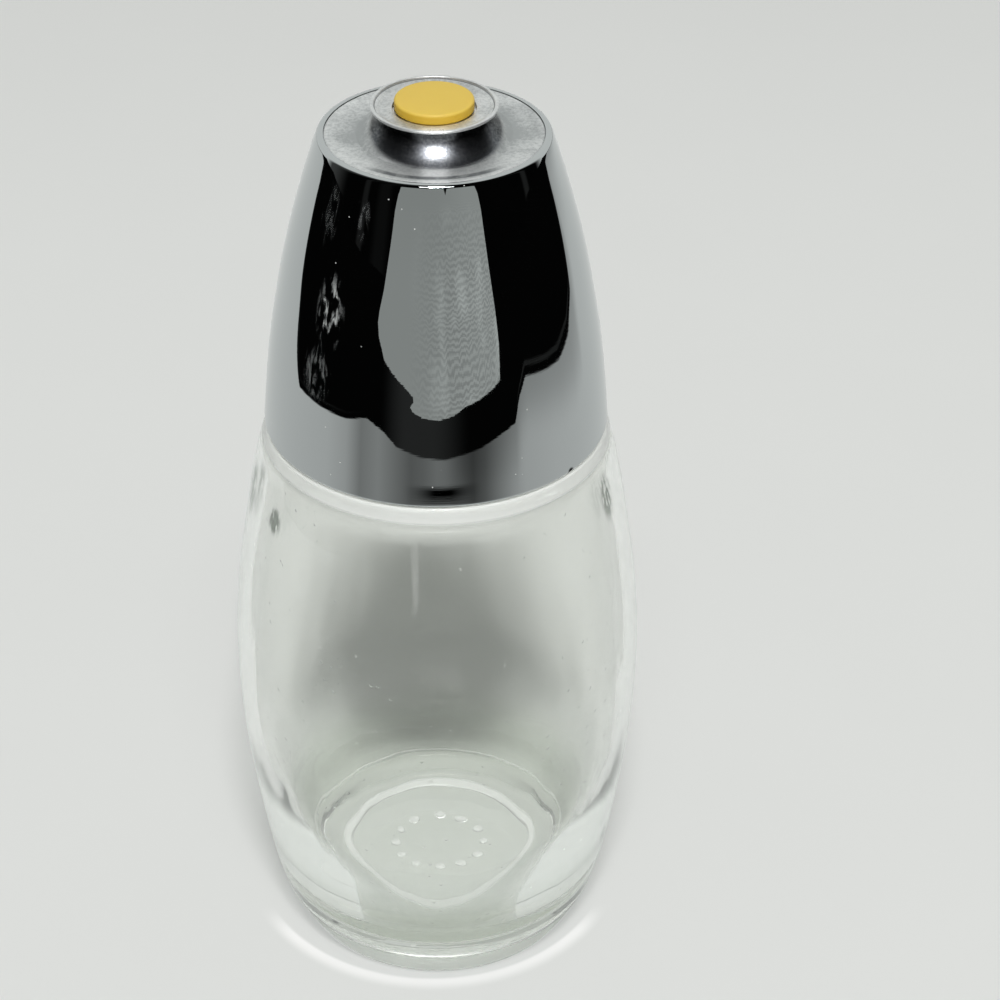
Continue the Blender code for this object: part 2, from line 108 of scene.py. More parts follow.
class JarSizes(bpy.types.PropertyGroup):
    """Sizes of the glass jar."""
    belly_radius: length("Belly radius", "Widest radius of the jar", jar_high.x)
    shoulder_height: length("Shoulder height", "Height of the ledge under the cap", 0.1138)
    neck_top: length("Neck top", "Height of the neck's lip", jar_high.z)
    neck_radius: length("Neck radius", "Outside radius of the neck without its thread", 0.0250)
    bore_radius: length("Bore radius", "Inside radius of the neck", 0.0220)
    wall: length("Wall", "Thickness of the glass at the belly", 0.0028)
    floor: length("Floor", "Height of the surface that the sugar rests on", 0.0098)
    floor_corner: length("Floor corner", "Radius between the floor and the inner wall", 0.0020)
    dish_radius: length("Dish radius", "Radius of the flat inside the floor's dish", 0.0187)
    dish_depth: length("Dish depth", "How far the flat lies under the floor's edge", 0.0011)
    dish_step: length("Dish step", "Step round the flat", 0.0003)
    pip_count: number("Pips", "Moulded pips in a ring on the flat", 12, 1)
    pip_ring: length("Pip ring", "Radius of the ring of pips", 0.0092)
    pip_radius: length("Pip radius", "Radius of one pip", 0.0011)
    pip_height: length("Pip height", "How far a pip stands over the flat", 0.0005)
    heel_corner: length("Heel corner", "Radius between the foot and the side", 0.0019)
    floor_radius: length("Floor radius", "Radius where the inner wall would meet the floor", 0.0266)
    heel_lean: amount("Heel lean", "Outward lean of the inner wall over the floor, as run over rise", 0.28)
    heel_blend: length("Heel blend", "Softness of the change from the leaning to the even wall", 0.0010)
    shoulder_edge: length("Shoulder edge", "Radius of the ledge's edge", 0.0012)
    kick_radius: length("Kick radius", "Radius of the hollow under the foot", 0.0250)
    kick_depth: length("Kick depth", "Depth of the hollow under the foot", 0.0010)
    inner_shoulder_run: length("Inner shoulder run", "Height over which the inside closes in", 0.0050)
    inner_shoulder_drop: length("Inner shoulder drop", "How far under the ledge that ends", 0.0008)
    neck_foot_fillet: length("Neck foot fillet", "Radius where the neck meets the ledge", 0.0010)
    lip_edge: length("Lip edge", "Radius of the lip's edges", 0.0009)
    seam_height: length("Seam height", "Height of the mould's parting line", 0.0087)
    seam_rise: length("Seam rise", "How far the parting line stands proud", 0.00010)
    seam_width: length("Seam width", "Width of the parting line", 0.0005)
    thread_start: length("Thread start", "Height of the thread's lower end over the ledge", 0.0042)
    thread_lead: length("Thread lead", "Rise of the thread in one turn", 0.0050)
    thread_turns: amount("Thread turns", "Turns of the thread", 1.25)
    thread_depth: length("Thread depth", "How far the thread stands out", 0.0012)
    thread_root: length("Thread root", "Width of the thread at the neck", 0.0018)
    thread_tip: length("Thread tip", "Width of the thread at its crest", 0.0008)
    thread_sink: length("Thread sink", "How deep the thread's root lies in the glass", 0.0006)
    segments: number("Segments", "Steps round the jar", 192, 24)


class CapSizes(bpy.types.PropertyGroup):
    """Sizes of the plated shell."""
    rim_radius: length("Rim radius", "Radius at the open lower end", shell_high.x)
    bottom: length("Bottom", "Height of the lower edge", shell_low.z)
    top: length("Top", "Height of the upper edge", shell_high.z)
    wall: length("Wall", "Thickness of the shell", 0.00105)
    top_edge: length("Top edge", "Radius of the upper edge", 0.0008)
    rim_edge: length("Rim edge", "Radius of the lower edge", 0.0003)
    segments: number("Segments", "Steps round the cap", 192, 24)


class SpoutSizes(bpy.types.PropertyGroup):
    """Sizes of the pressed plate that closes the cap, with its trumpet neck and mouth."""
    bead_top: length("Bead top", "Height of the raised bead", plate_high.z + 0.0004)
    mouth_top: length("Mouth top", "Height of the mouth plate at the flap", plate_high.z - 0.00035)
    mouth_flat: length("Mouth flat", "Radius where the mouth plate begins to rise to the bead", 0.0091)
    rim_bottom: length("Rim bottom", "Height of the plate's turned-down rim", plate_low.z)
    side_gap: length("Side gap", "Room between the plate and the shell", 0.0001)
    rim_fillet: length("Rim fillet", "Radius where the plate turns down into its rim", 0.0006)
    thickness: length("Thickness", "Thickness of the plate", 0.0009)
    bore_fillet: length("Bore fillet", "Radius where the bore meets the plate's underside", 0.0006)
    flare_radius: length("Flare radius", "Radius of the neck's foot, where it meets the plate", 0.0133)
    dish_depth: length("Dish depth", "How far the plate dips towards the neck", 0.0002)
    dish_radius: length("Dish radius", "Radius where the dip begins", 0.0180)
    bore_radius: length("Bore radius", "Inside radius of the neck", 0.0091)
    bead_radius: length("Bead radius", "Outside radius of the bead", 0.0109)
    bead_edge: length("Bead edge", "Height of the bead's side", 0.00055)
    bead_width: length("Bead width", "Width of the bead", 0.00065)
    # Painted shade: a dark line at the bead's inner foot
    shade_line_width: length("Groove width", "Width of the dark line inside the bead", 0.00016)
    bead_height: length("Bead height", "How far the bead stands over the mouth plate", 0.00035)
    mouth_radius: length("Mouth radius", "Radius of the pouring hole", 0.0071)
    mouth_thickness: length("Mouth thickness", "Thickness of the mouth plate", 0.0007)
    mouth_edge: length("Mouth edge", "Radius of the pouring hole's upper edge", 0.0001)
    segments: number("Segments", "Steps round the plate", 192, 24)


class FlapSizes(bpy.types.PropertyGroup):
    """Sizes of the yellow flap and its lug."""
    radius: length("Radius", "Radius of the disc", -flap_low.y)
    top: length("Top", "Height of the disc's upper face", flap_high.z)
    rise: length("Rise", "Height of the disc over the mouth plate", 0.00175)
    plug_radius: length("Plug radius", "Radius of the disc's underside", 0.0059)
    top_edge: length("Top edge", "Radius of the disc's upper edge", 0.00050)
    crown: length("Crown", "How far the upper face is dished upwards", 0.00006)
    mouth_gap: length("Mouth gap", "Room between the disc and the mouth", 0.00033)
    running_gap: length("Running gap", "Room round the flap as it turns", 0.0002)
    seat_gap: length("Seat gap", "Room between the flap and its seat", 0.0003)
    knuckle_radius: length("Knuckle radius", "Radius of the lug's eye", 0.0010)
    knuckle_width: length("Knuckle width", "Width of the lug", 0.0034)
    lug_reach: length("Lug reach", "How far the lug runs forward under the disc", 0.0024)
    pin_hole: length("Pin hole", "Radius of the hole for the pin", 0.00065)
    opening: degrees("Opening", "How far the flap opens", flap_joint["range_deg"][1])
    relief_cuts: number("Relief cuts", "Cuts that clear the mouth's edge", 6, 1)
    segments: number("Segments", "Steps round the disc", 128, 24)


class FinishColours(bpy.types.PropertyGroup):
    """Colours of the finishes."""
    glass: colour("Glass", "Pressed glass where it is thin", (0.880, 0.889, 0.872))
    glass_heel: colour("Glass heel", "Pressed glass where it is thick", (0.83, 0.85, 0.81))
    glass_foot: colour("Glass foot", "Outer side of the thick heel", (0.60, 0.63, 0.575))
    # Pale layer in the glass: painted light in a band under the ledge, a painted highlight along the parting
    # line, and a pale flaw
    glass_light_and_flaw: colour("Glass haze", "Frosted band under the cap", (0.93, 0.94, 0.92))
    # Painted dark reflections, as streaks in the glass
    glass_dark_reflection: colour("Glass mark", "Dark streaks in the glass", (0.10, 0.12, 0.10))
    glass_clear: colour("Glass light", "Light that the glass lets through", (0.995, 1.0, 0.995))
    glass_shade: colour("Glass shade", "Light that it lets through where it is edge on", (0.55, 0.56, 0.55))
    chrome: colour("Chrome", "Plated metal", (0.60, 0.625, 0.63))
    chip: colour("Chip", "Chip in the plating at the cap's rim", (0.01, 0.01, 0.01))
    # Painted shade: the neck's dark reflection, lighter at the front under the lamp and darkest at its sides
    # and higher up
    neck: colour("Neck", "Darkened plating of the trumpet neck", (0.17, 0.18, 0.20))
    neck_side_painted_shade: colour("Neck side", "The neck's plating away from the lamp", (0.018, 0.021, 0.025))
    # Also the colour of the painted highlight on the plate in front of the flap
    bead: colour("Bead", "Polished bead round the mouth", (0.95, 0.96, 0.95))
    satin: colour("Satin", "Worn satin plate", (0.85, 0.865, 0.86))
    satin_wear: colour("Satin wear", "Satin plate where it is dull", (0.46, 0.48, 0.48))
    # Painted reflections: pale wisps on the shell that stand in for reflections of the room
    painted_reflection: colour("Smear", "Wisps of dried polish on the shell", (0.75, 0.77, 0.76))
    # Also painted shade: the dark line inside the bead and the dark arc across the plate's front
    tarnish_and_shade: colour("Tarnish", "Pits and specks in the plating", (0.10, 0.11, 0.12))
    dust: colour("Dust", "Specks of dust on the plating", (0.75, 0.76, 0.74))
    # Paler yellow: the flap's top, painted as lit. Deeper yellow: its sides, painted as shaded
    yellow: colour("Yellow", "Flap plastic", (0.74, 0.53, 0.10))
    yellow_shaded: colour("Deep yellow", "Flap plastic where it is less faded", (0.66, 0.42, 0.035))
    white: colour("White", "Inner plastic", (0.78, 0.79, 0.77))
    seal: colour("Seal", "Sealing ring", (0.55, 0.55, 0.52))
    steel: colour("Steel", "Hinge pin", (0.55, 0.55, 0.56))


class StageSettings(bpy.types.PropertyGroup):
    """The floor, the lamp, the world and the camera."""
    camera_distance: length("Camera distance", "How far the camera stands in front", 0.39283)
    camera_height: length("Camera height", "Height of the camera", 0.36650)
    camera_yaw: degrees("Camera yaw", "Turn to the right", 1.70647)
    camera_pitch: degrees("Camera pitch", "Tilt downwards", 34.71427)
    camera_roll: degrees("Camera roll", "Tilt to the side", 0.58899)
    lens: amount("Lens", "Focal length in millimetres", 92.745)
    film_width: amount("Film width", "Width of the picture on the film in millimetres", 36)
    nearest: length("Nearest", "Nearest distance that the camera sees", 0.01)
    floor_size: length("Floor size", "Side of the floor", 8.0)
    floor_gap: length("Floor gap", "Room between the floor and the jar's foot", 0.00002)
    lamp_distance: length("Lamp distance", "How far the lamp is from the cap", 3.0)
    lamp_height: degrees("Lamp height", "Height of the lamp as an angle", 57.5)
    lamp_side: degrees("Lamp side", "Turn of the lamp to the right", 2.1)
    lamp_width: length("Lamp width", "Width of the lamp", 0.58)
    lamp_depth: length("Lamp depth", "Height of the lamp's face", 0.34)
    lamp_power: amount("Lamp power", "Power in watts", 76.0)
    strip_width: length("Strip width", "Width of the weaker lamp behind it", 1.28)
    strip_depth: length("Strip depth", "Height of the weaker lamp's face", 0.26)
    strip_power: amount("Strip power", "Power in watts", 12.0)
    room_light: amount("Room light", "Strength of the light from all round", 0.15)
    floor_colour: colour("Floor colour", "Colour of the floor", (0.80, 0.81, 0.79))
    backdrop: colour("Backdrop", "Colour behind the floor", (0.68, 0.70, 0.685))
    gathered: colour("Gathered light", "Ring of light that the jar's heel gathers", (1.0, 1.0, 0.985))
    panel_distance: length("Panel distance", "How far the grey panel stands in front", 0.34)
    panel_colour: colour("Panel colour", "Tint of the grey panel", (0.96, 1.0, 0.965))


groups = {
    "dispenser_jar": JarSizes,
    "dispenser_cap": CapSizes,
    "dispenser_spout": SpoutSizes,
    "dispenser_flap": FlapSizes,
    "dispenser_colours": FinishColours,
    "dispenser_stage": StageSettings,
}

# Vertices nearer than this are merged, and edges sharper than this stay sharp
weld_distance = 0.000001
smooth_angle = math.radians(32)
# Steps in an outline: round a fillet, up a long side and along a wall
corner_steps = 6
side_steps = 40
wall_steps = 24


def curve_through(shares, height, radius):
    """Return a smooth radius-at-height function through a table of shares."""
    heights = [share * height for share, _ in shares]
    radii = [share * radius for _, share in shares]
    last = len(shares) - 1

    def slope(k):
        if k in (0, last):
            a, b = (0, 1) if k == 0 else (last - 1, last)
            return (radii[b] - radii[a]) / (heights[b] - heights[a])
        under = heights[k] - heights[k - 1]
        over = heights[k + 1] - heights[k]
        rise = (radii[k] - radii[k - 1]) / under
        following = (radii[k + 1] - radii[k]) / over
        return (rise * over + following * under) / (under + over)

    slopes = [slope(k) for k in range(last + 1)]

    def radius_at(z):
        z = min(max(z, heights[0]), heights[-1])
        k = max(index for index in range(last) if heights[index] <= z)
        span = heights[k + 1] - heights[k]
        t = (z - heights[k]) / span
        return (
            (2 * t**3 - 3 * t**2 + 1) * radii[k]
            + (t**3 - 2 * t**2 + t) * span * slopes[k]
            + (3 * t**2 - 2 * t**3) * radii[k + 1]
            + (t**3 - t**2) * span * slopes[k + 1]
        )

    return radius_at


def spread(low, high, count):
    """Count + 1 even steps from low to high."""
    return [low + (high - low) * step / count for step in range(count + 1)]


def filleted(corners, closed=True):
    """Turn corners (radius, height, fillet) into outline points, with an arc at each fillet."""
    points = []
    count = len(corners)
    for index, (r, z, fillet) in enumerate(corners):
        corner = Vector((r, z))
        is_end = not closed and index in (0, count - 1)
        if is_end or fillet <= 0:
            points.append(corner)
            continue
        before = Vector(corners[index - 1][:2]) - corner
        after = Vector(corners[(index + 1) % count][:2]) - corner
        half_angle = before.angle(after) / 2
        reach = min(fillet / math.tan(half_angle), before.length / 2, after.length / 2)
        radius = reach * math.tan(half_angle)
        towards_middle = (before.normalized() + after.normalized()).normalized()
        middle = corner + towards_middle * math.hypot(reach, radius)
        start = corner + before.normalized() * reach - middle
        turn = math.pi - 2 * half_angle
        side = math.copysign(1, before.x * after.y - before.y * after.x)
        for step in range(corner_steps + 1):
            arm = start.copy()
            arm.rotate(Matrix.Rotation(-side * turn * step / corner_steps, 2))
            points.append(middle + arm)
    return points


def clear_selection():
    """Leave edit mode and select nothing."""
    if bpy.context.object and bpy.context.object.mode != "OBJECT":
        bpy.ops.object.mode_set(mode="OBJECT")
    bpy.ops.object.select_all(action="DESELECT")


def only(piece):
    """Make a piece the only one selected, and the active one."""
    clear_selection()
    piece.select_set(True)
    bpy.context.view_layer.objects.active = piece


def draw_chain(name, points, closed):
    """Draw a chain of edges in edit mode: one vertex, extruded from point to point."""
    clear_selection()
    bpy.ops.mesh.primitive_plane_add(size=points[0].length or 1, location=(0, 0, 0))
    piece = bpy.context.object
    piece.name = name
    piece.data.name = name
    bpy.ops.object.mode_set(mode="EDIT")
    bpy.ops.mesh.select_all(action="SELECT")
    bpy.ops.mesh.merge(type="CENTER")
    bpy.ops.transform.translate(value=points[0])
    route = [*points, points[0]] if closed else points
    for before, after in zip(route, route[1:]):
        bpy.ops.mesh.extrude_vertices_move(TRANSFORM_OT_translate={"value": after - before})
    bpy.ops.mesh.select_all(action="SELECT")
    bpy.ops.mesh.remove_doubles(threshold=weld_distance)
    return piece


def tidy_mesh(piece):
    """Merge doubles, face outwards and shade smooth except at sharp edges."""
    only(piece)
    bpy.ops.object.mode_set(mode="EDIT")
    bpy.ops.mesh.select_all(action="SELECT")
    bpy.ops.mesh.remove_doubles(threshold=weld_distance)
    bpy.ops.mesh.dissolve_degenerate(threshold=weld_distance)
    bpy.ops.mesh.normals_make_consistent(inside=False)
    bpy.ops.object.mode_set(mode="OBJECT")
    bpy.ops.object.shade_smooth_by_angle(angle=smooth_angle)


def turned_piece(name, outline, segments, closed=True):
    """Draw an outline of (radius, height) points and spin it once round +Z."""
    piece = draw_chain(name, [Vector((r, 0, z)) for r, z in outline], closed)
    bpy.ops.mesh.spin(
        steps=segments, angle=2 * math.pi, use_auto_merge=True, center=(0, 0, 0), axis=(0, 0, 1))
    tidy_mesh(piece)
    return piece


def combine(piece, tool, operation):
    """Join or cut a piece with a tool, which is used up."""
    step = piece.modifiers.new(tool.name, "BOOLEAN")
    step.operation = operation
    step.solver = "EXACT"
    step.object = tool
    only(piece)
    bpy.ops.object.modifier_apply(modifier=step.name)
    mesh = tool.data
    bpy.data.objects.remove(tool)
    bpy.data.meshes.remove(mesh)


def place(piece, matrix):
    """Turn and move a piece, and leave its object at the origin with its place in its mesh."""
    only(piece)
    piece.matrix_world = matrix
    bpy.ops.object.transform_apply(location=True, rotation=True, scale=True)


def dress(piece, body, node, material):
    """Let a new piece stand for a solid, with its finish, and ride on the solid's body."""
    piece.data.materials.clear()
    piece.data.materials.append(material)
    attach(piece, body)
    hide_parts(node)


class Signal:
    """A shader socket that Python's operators work on, so that shader maths reads as arithmetic."""

    def __init__(self, finish, socket):
        self.finish = finish
        self.socket = socket

    def maths(self, operation, *others):
        """The result of a Math node on this value and others."""
        return self.finish.node("Math", {"operation": operation}, dict(enumerate((self, *others))))

    def __add__(self, other):
        return self.maths("ADD", other)

    def __sub__(self, other):
        return self.maths("SUBTRACT", other)

    def __mul__(self, other):
        return self.maths("MULTIPLY", other)

    def __truediv__(self, other):
        return self.maths("DIVIDE", other)

    def __pow__(self, other):
        return self.maths("POWER", other)

    def __rsub__(self, other):
        return self.finish.node("Math", {"operation": "SUBTRACT"}, {0: other, 1: self})

    def __rtruediv__(self, other):
        return self.finish.node("Math", {"operation": "DIVIDE"}, {0: other, 1: self})

    __radd__ = __add__
    __rmul__ = __mul__

    def over(self, low, high):
        """0 below low, 1 above high and smooth between. With high under low it falls instead."""
        settings = {"interpolation_type": "SMOOTHSTEP"}
        sockets = {"Value": self, "From Min": low, "From Max": high}
        if high < low:
            sockets = {"Value": self, "From Min": high, "From Max": low, "To Min": 1, "To Max": 0}
        return self.finish.node("MapRange", settings, sockets)

    def near(self, middle, out, full):
        """1 within full of a middle value, 0 further than out from it and smooth between."""
        return (self - middle).size().over(out, full)

    def size(self):
        """The value without its sign."""
        return self.maths("ABSOLUTE")

    def most(self, other):
        """The higher of two values."""
        return self.maths("MAXIMUM", other)

    def least(self, other):
        """The lower of two values."""
        return self.maths("MINIMUM", other)


# Share of a spot's and of a speck's size inside which it is at its full strength
spot_core = 0.45
speck_core = 0.6


class Finish:
    """A node tree under construction, of a material or the world."""

    def __init__(self, owner):
        owner.use_nodes = True
        self.owner = owner
        self.tree = owner.node_tree
        self.tree.nodes.clear()

    def node(self, kind, settings=None, sockets=None, output=0):
        """Add a node: its settings first, then the values or links of its sockets."""
        made = self.tree.nodes.new("ShaderNode" + kind)
        for name, value in (settings or {}).items():
            if name == "points":
                self.set_points(made.mapping, value)
            else:
                setattr(made, name, value)
        for name, value in (sockets or {}).items():
            socket = made.inputs[name]
            if isinstance(value, Signal):
                self.tree.links.new(value.socket, socket)
            elif hasattr(socket.default_value, "__len__") and len(socket.default_value) == 4:
                socket.default_value = (*tuple(value)[:3], 1)
            else:
                socket.default_value = value
        return Signal(self, made.outputs[output]) if made.outputs else None

    @staticmethod
    def set_points(mapping, points):
        """Draw a curve node's curve as straight runs from point to point."""
        curve = mapping.curves[0]
        while len(curve.points) < len(points):
            curve.points.new(1, 1)
        for point, (across, up) in zip(curve.points, points):
            point.location = (across, up)
            point.handle_type = "VECTOR"
        mapping.update()

    def axes(self, vector):
        """The three parts of a vector."""
        parts = self.node("SeparateXYZ", sockets={"Vector": vector})
        outputs = parts.socket.node.outputs
        return [Signal(self, outputs[index]) for index in range(3)]

    def stretched(self, vector, scale):
        """A place with each axis scaled, to draw a pattern out along one of them."""
        return self.node("Mapping", sockets={"Vector": vector, "Scale": scale})

    def noise(self, vector, scale=1.0, detail=2.0, roughness=0.5):
        """Soft cloudy noise from 0 to 1."""
        return self.node("TexNoise", sockets={
            "Vector": vector, "Scale": scale, "Detail": detail, "Roughness": roughness})

    def specks(self, vector, scale, size):
        """Small round specks at random places, 1 inside and 0 between."""
        distance = self.node("TexVoronoi", {"feature": "F1"}, {"Vector": vector, "Scale": scale})
        return distance.over(size, size * speck_core)

    def spot(self, vector, centre, size):
        """A soft-edged spot round a place, 1 inside and 0 outside, with a size along each axis."""
        offset = self.node("VectorMath", {"operation": "SUBTRACT"}, {0: vector, 1: centre})
        scaled = self.node("VectorMath", {"operation": "DIVIDE"}, {0: offset, 1: size})
        distance = self.node("VectorMath", {"operation": "LENGTH"}, {0: scaled}, output="Value")
        return distance.over(1.0, spot_core)

    def blend(self, factor, first, second):
        """A colour between two colours."""
        mixer = self.tree.nodes.new("ShaderNodeMix")
        mixer.data_type = "RGBA"
        for index, value in ((0, factor), (6, first), (7, second)):
            if isinstance(value, Signal):
                self.tree.links.new(value.socket, mixer.inputs[index])
            elif index == 0:
                mixer.inputs[index].default_value = value
            else:
                mixer.inputs[index].default_value = (*tuple(value)[:3], 1)
        return Signal(self, mixer.outputs[2])

    def tinted(self, shade, strength):
        """A colour made stronger or weaker."""
        return self.node("VectorMath", {"operation": "SCALE"}, {0: shade, "Scale": strength})

    def bump(self, height, distance, normal=None):
        """A surface raised by a height from 0 to 1, which stands for a distance."""
        sockets = {"Height": height, "Distance": distance, "Strength": 1.0}
        if normal:
            sockets["Normal"] = normal
        return self.node("Bump", sockets=sockets)

    def mixed(self, factor, first, second):
        """One shader or the other, by a factor."""
        return self.node("MixShader", sockets={0: factor, 1: first, 2: second})

    def show(self, shader, kind="OutputMaterial"):
        """Give the finished shader to the owner, and return the owner."""
        self.node(kind, sockets={"Surface": shader})
        return self.owner


def start_finish(name):
    """A new material's node tree, and the place on the piece in its own coordinates."""
    finish = Finish(bpy.data.materials.new(name))
    return finish, finish.node("TexCoord", output="Object")


def from_axis(across, away):
    """Distance from an upright axis, from the two level parts of a place."""
    return (across * across + away * away) ** 0.5


# In every band a part of a finish is missing at the first number and full at the second. The bands of
# the glass are heights, or distances from the axis, or heights over the ledge
heel_tint_band = (0.028, 0.012)
outer_side_band = (0.0270, 0.0285)
foot_band = (0.0001, 0.0008)
foot_line_fade = 0.0015
shoulder_glow_band = (0.1104, 0.1113)
shoulder_glow_end_band = (0.0003, 0.0009)
# Patterns in the glass: how often they repeat in a metre, the noise at which wisps begin and are full,
# the share of the swells in the relief, the size of a seed in its cell, and how deep they look
glass_wisps = (1500, 1500, 260)
wisp_band = (0.34, 0.52)
glass_ripples = (90, 90, 14)
glass_swells = 55.0
glass_seeds = 260.0
swell_share = 0.8
seed_size = 0.09
ripple_depth = 0.00022
seed_depth = 0.00004
# Painted dark reflections, as streaks in the glass: middle, and size along each axis
glass_dark_reflections = (
    ((-0.0332, -0.0052, 0.1010), (0.0040, 0.0034, 0.0078)),
    ((0.0306, -0.0134, 0.1045), (0.0026, 0.0030, 0.0068)),
    ((-0.0289, -0.0172, 0.1018), (0.0026, 0.0026, 0.0036)),
    ((0.0312, -0.0120, 0.0240), (0.0022, 0.0034, 0.0060)),
)
# A faint pale flaw in the front of the glass: middle, size along each axis, half width and how it wanders
flaw_centre = (-0.0038, -0.0310, 0.1000)
flaw_size = (0.0040, 0.0090, 0.0085)
flaw_line = (0.0010, 0.0001)
flaw_wander = 0.0016
flaw_bends = 400.0
# How much of each shows on the clear glass: the painted light under the ledge, the painted highlight on the
# parting line and the flaw
shoulder_glow, seam_highlight, flaw_haze = 0.45, 0.5, 0.07
pale_layer_roughness, foot_roughness = 0.55, 0.3
# Shares of the parting line's width at which it fades out and is full
line_shares = (0.7, 0.3)
# Refractive index of the glass
glass_index = 1.52
# How far the glass is turned away where it shades, and the reflection after which light goes straight on
edge_on_band = (0.55, 1.0)
trapped_band = (1.4, 1.6)


def glass_finish(colours, jar):
    """Pressed glass: ripples, seeds, streaks of painted dark reflection, a band of painted light under the
    ledge, a painted highlight along the parting line, a pale flaw and a green cast in the thick heel.
    """
    finish, where = start_finish("pressed_glass")
    across, away, height = finish.axes(where)
    outer_side = from_axis(across, away).over(*outer_side_band)
    heel = height.over(*heel_tint_band)
    tint = finish.blend(heel, colours.glass, colours.glass_heel)
    tint = finish.blend(heel * outer_side, tint, colours.glass_foot)
    wisps = finish.noise(finish.stretched(where, glass_wisps)).over(*wisp_band)
    # Painted dark reflections: dark streaks in the tint of the glass
    marks = wisps * sum(finish.spot(where, centre, size) for centre, size in glass_dark_reflections)
    tint = finish.blend(marks, tint, colours.glass_dark_reflection)
    foot = height.over(jar.seam_height, jar.seam_height - foot_line_fade) * height.over(*foot_band)
    ripples = finish.noise(finish.stretched(where, glass_ripples), detail=1.5)
    swells = finish.noise(where, glass_swells, detail=1.0)
    relief = finish.bump(ripples + swells * swell_share, ripple_depth)
    relief = finish.bump(finish.specks(where, glass_seeds, seed_size), seed_depth, normal=relief)
    clear = finish.node("BsdfPrincipled", sockets={
        "Base Color": tint,
        "Roughness": foot * outer_side * foot_roughness,
        "IOR": glass_index,
        "Transmission Weight": 1.0,
        "Normal": relief,
    })

    wander = (finish.noise(where, flaw_bends) - 0.5) * flaw_wander
    flaw = (across + wander).near(flaw_centre[0], *flaw_line) * finish.spot(where, flaw_centre, flaw_size)
    # Painted highlight: a pale line along the real parting line
    seam = height.near(jar.seam_height, *(jar.seam_width * share for share in line_shares))
    ledge = jar.shoulder_height
    # Painted light: a pale band under the ledge that stands in for the light the glass bends there
    shoulder = height.over(*shoulder_glow_band) * (1 - height.over(*(ledge + end for end in shoulder_glow_end_band)))
    light_and_flaw = shoulder * shoulder_glow + seam * seam_highlight + flaw * flaw_haze
    pale_layer = finish.node("BsdfPrincipled", sockets={
        "Base Color": colours.glass_light_and_flaw, "Roughness": pale_layer_roughness})
    glass = finish.mixed(light_and_flaw, clear, pale_layer)

    edge_on = finish.node("LayerWeight", sockets={"Blend": 0.5}, output="Facing")
    lets_through = finish.mixed(
        edge_on.over(*edge_on_band),
        finish.node("BsdfTransparent", sockets={"Color": colours.glass_clear}),
        finish.node("BsdfTransparent", sockets={"Color": colours.glass_shade}))
    shadow = finish.node("LightPath", output="Is Shadow Ray")
    diffuse = finish.node("LightPath", output="Is Diffuse Ray")
    trapped = finish.node("LightPath", output="Glossy Depth").over(*trapped_band)
    return finish.show(finish.mixed(shadow.most(diffuse).most(trapped), glass, lets_through))


# Chip in the plating at the rim: middle, and size along each axis
shell_chip = ((0.0236, -0.0204, 0.1145), (0.0009, 0.0009, 0.0007))
# Painted reflections on the shell, as pale wisps: middle, size along each axis and strength
shell_painted_reflections = (
    ((-0.0176, -0.0197, 0.1462), (0.0034, 0.0034, 0.0085), 1.0),
    ((-0.0172, -0.0142, 0.1610), (0.0022, 0.0026, 0.0095), 0.15),
    ((-0.0206, -0.0206, 0.1350), (0.0036, 0.0040, 0.0062), 0.35),
    ((-0.0118, -0.0186, 0.1632), (0.0014, 0.0020, 0.0070), 0.22),
)
# Patterns on the shell: how often they repeat in a metre, and how deep the polishing marks look
reflection_wisps = (900, 900, 150)
polish_lines = (300, 300, 2600)
shell_clouds, dust_clouds, dust_specks = 70.0, 60.0, 330.0
dust_size = 0.055
polish_depth = 0.0000006
# Noise at which clouds, dusty areas and the painted reflections begin and are full
shell_cloud_band, dusty_band, reflection_band = (0.5, 0.8), (0.5, 0.62), (0.50, 0.66)
# Roughness of the clean plating, and what clouds, dust, the painted reflections and the chip add to it
clean_roughness = 0.012
cloud_roughness, dust_roughness, reflection_roughness, chip_roughness = 0.03, 0.4, 0.3, 0.5
# How much of the metal's mirror is lost under dust and the painted reflections
dust_cover, reflection_cover = 0.7, 0.45


def chrome_finish(colours):
    """Bright plating with faint polishing marks, pale wisps of painted reflection, dust and a chip at its
    rim.
    """
    finish, where = start_finish("bright_plating")
    clouds = finish.noise(where, shell_clouds, detail=4.0, roughness=0.6).over(*shell_cloud_band)
    dusty = finish.noise(where, dust_clouds).over(*dusty_band)
    dust = finish.specks(where, dust_specks, dust_size) * dusty
    chip = finish.spot(where, *shell_chip)
    wisps = finish.node("TexNoise", sockets={
        "Vector": finish.stretched(where, reflection_wisps), "Scale": 1.0, "Detail": 3.0, "Distortion": 0.8})
    # Painted reflections: pale wisps in the dark part of the shell
    reflection_streaks = wisps.over(*reflection_band) * sum(
        finish.spot(where, centre, size) * strength for centre, size, strength in shell_painted_reflections)
    shade = finish.blend(dust, colours.chrome, colours.dust)
    shade = finish.blend(reflection_streaks, shade, colours.painted_reflection)
    shade = finish.blend(chip, shade, colours.chip)
    dullness = clouds * cloud_roughness + dust * dust_roughness
    dullness = dullness + reflection_streaks * reflection_roughness + chip * chip_roughness
    return finish.show(finish.node("BsdfPrincipled", sockets={
        "Base Color": shade,
        "Metallic": 1 - dust * dust_cover - reflection_streaks * reflection_cover,
        "Roughness": clean_roughness + dullness,
        "Normal": finish.bump(finish.noise(finish.stretched(where, polish_lines)), polish_depth),
    }))


# Middle of the painted dark reflection on the neck, seen from above
neck_centre = Vector((0.0003, -0.0023))
# Bands of the satin plate's finish. By distance from that middle, or from the axis
neck_band = (0.0119, 0.0107)
beside_neck_band = (0.0165, 0.0125)
front_highlight_band = (0.0072, 0.0086)
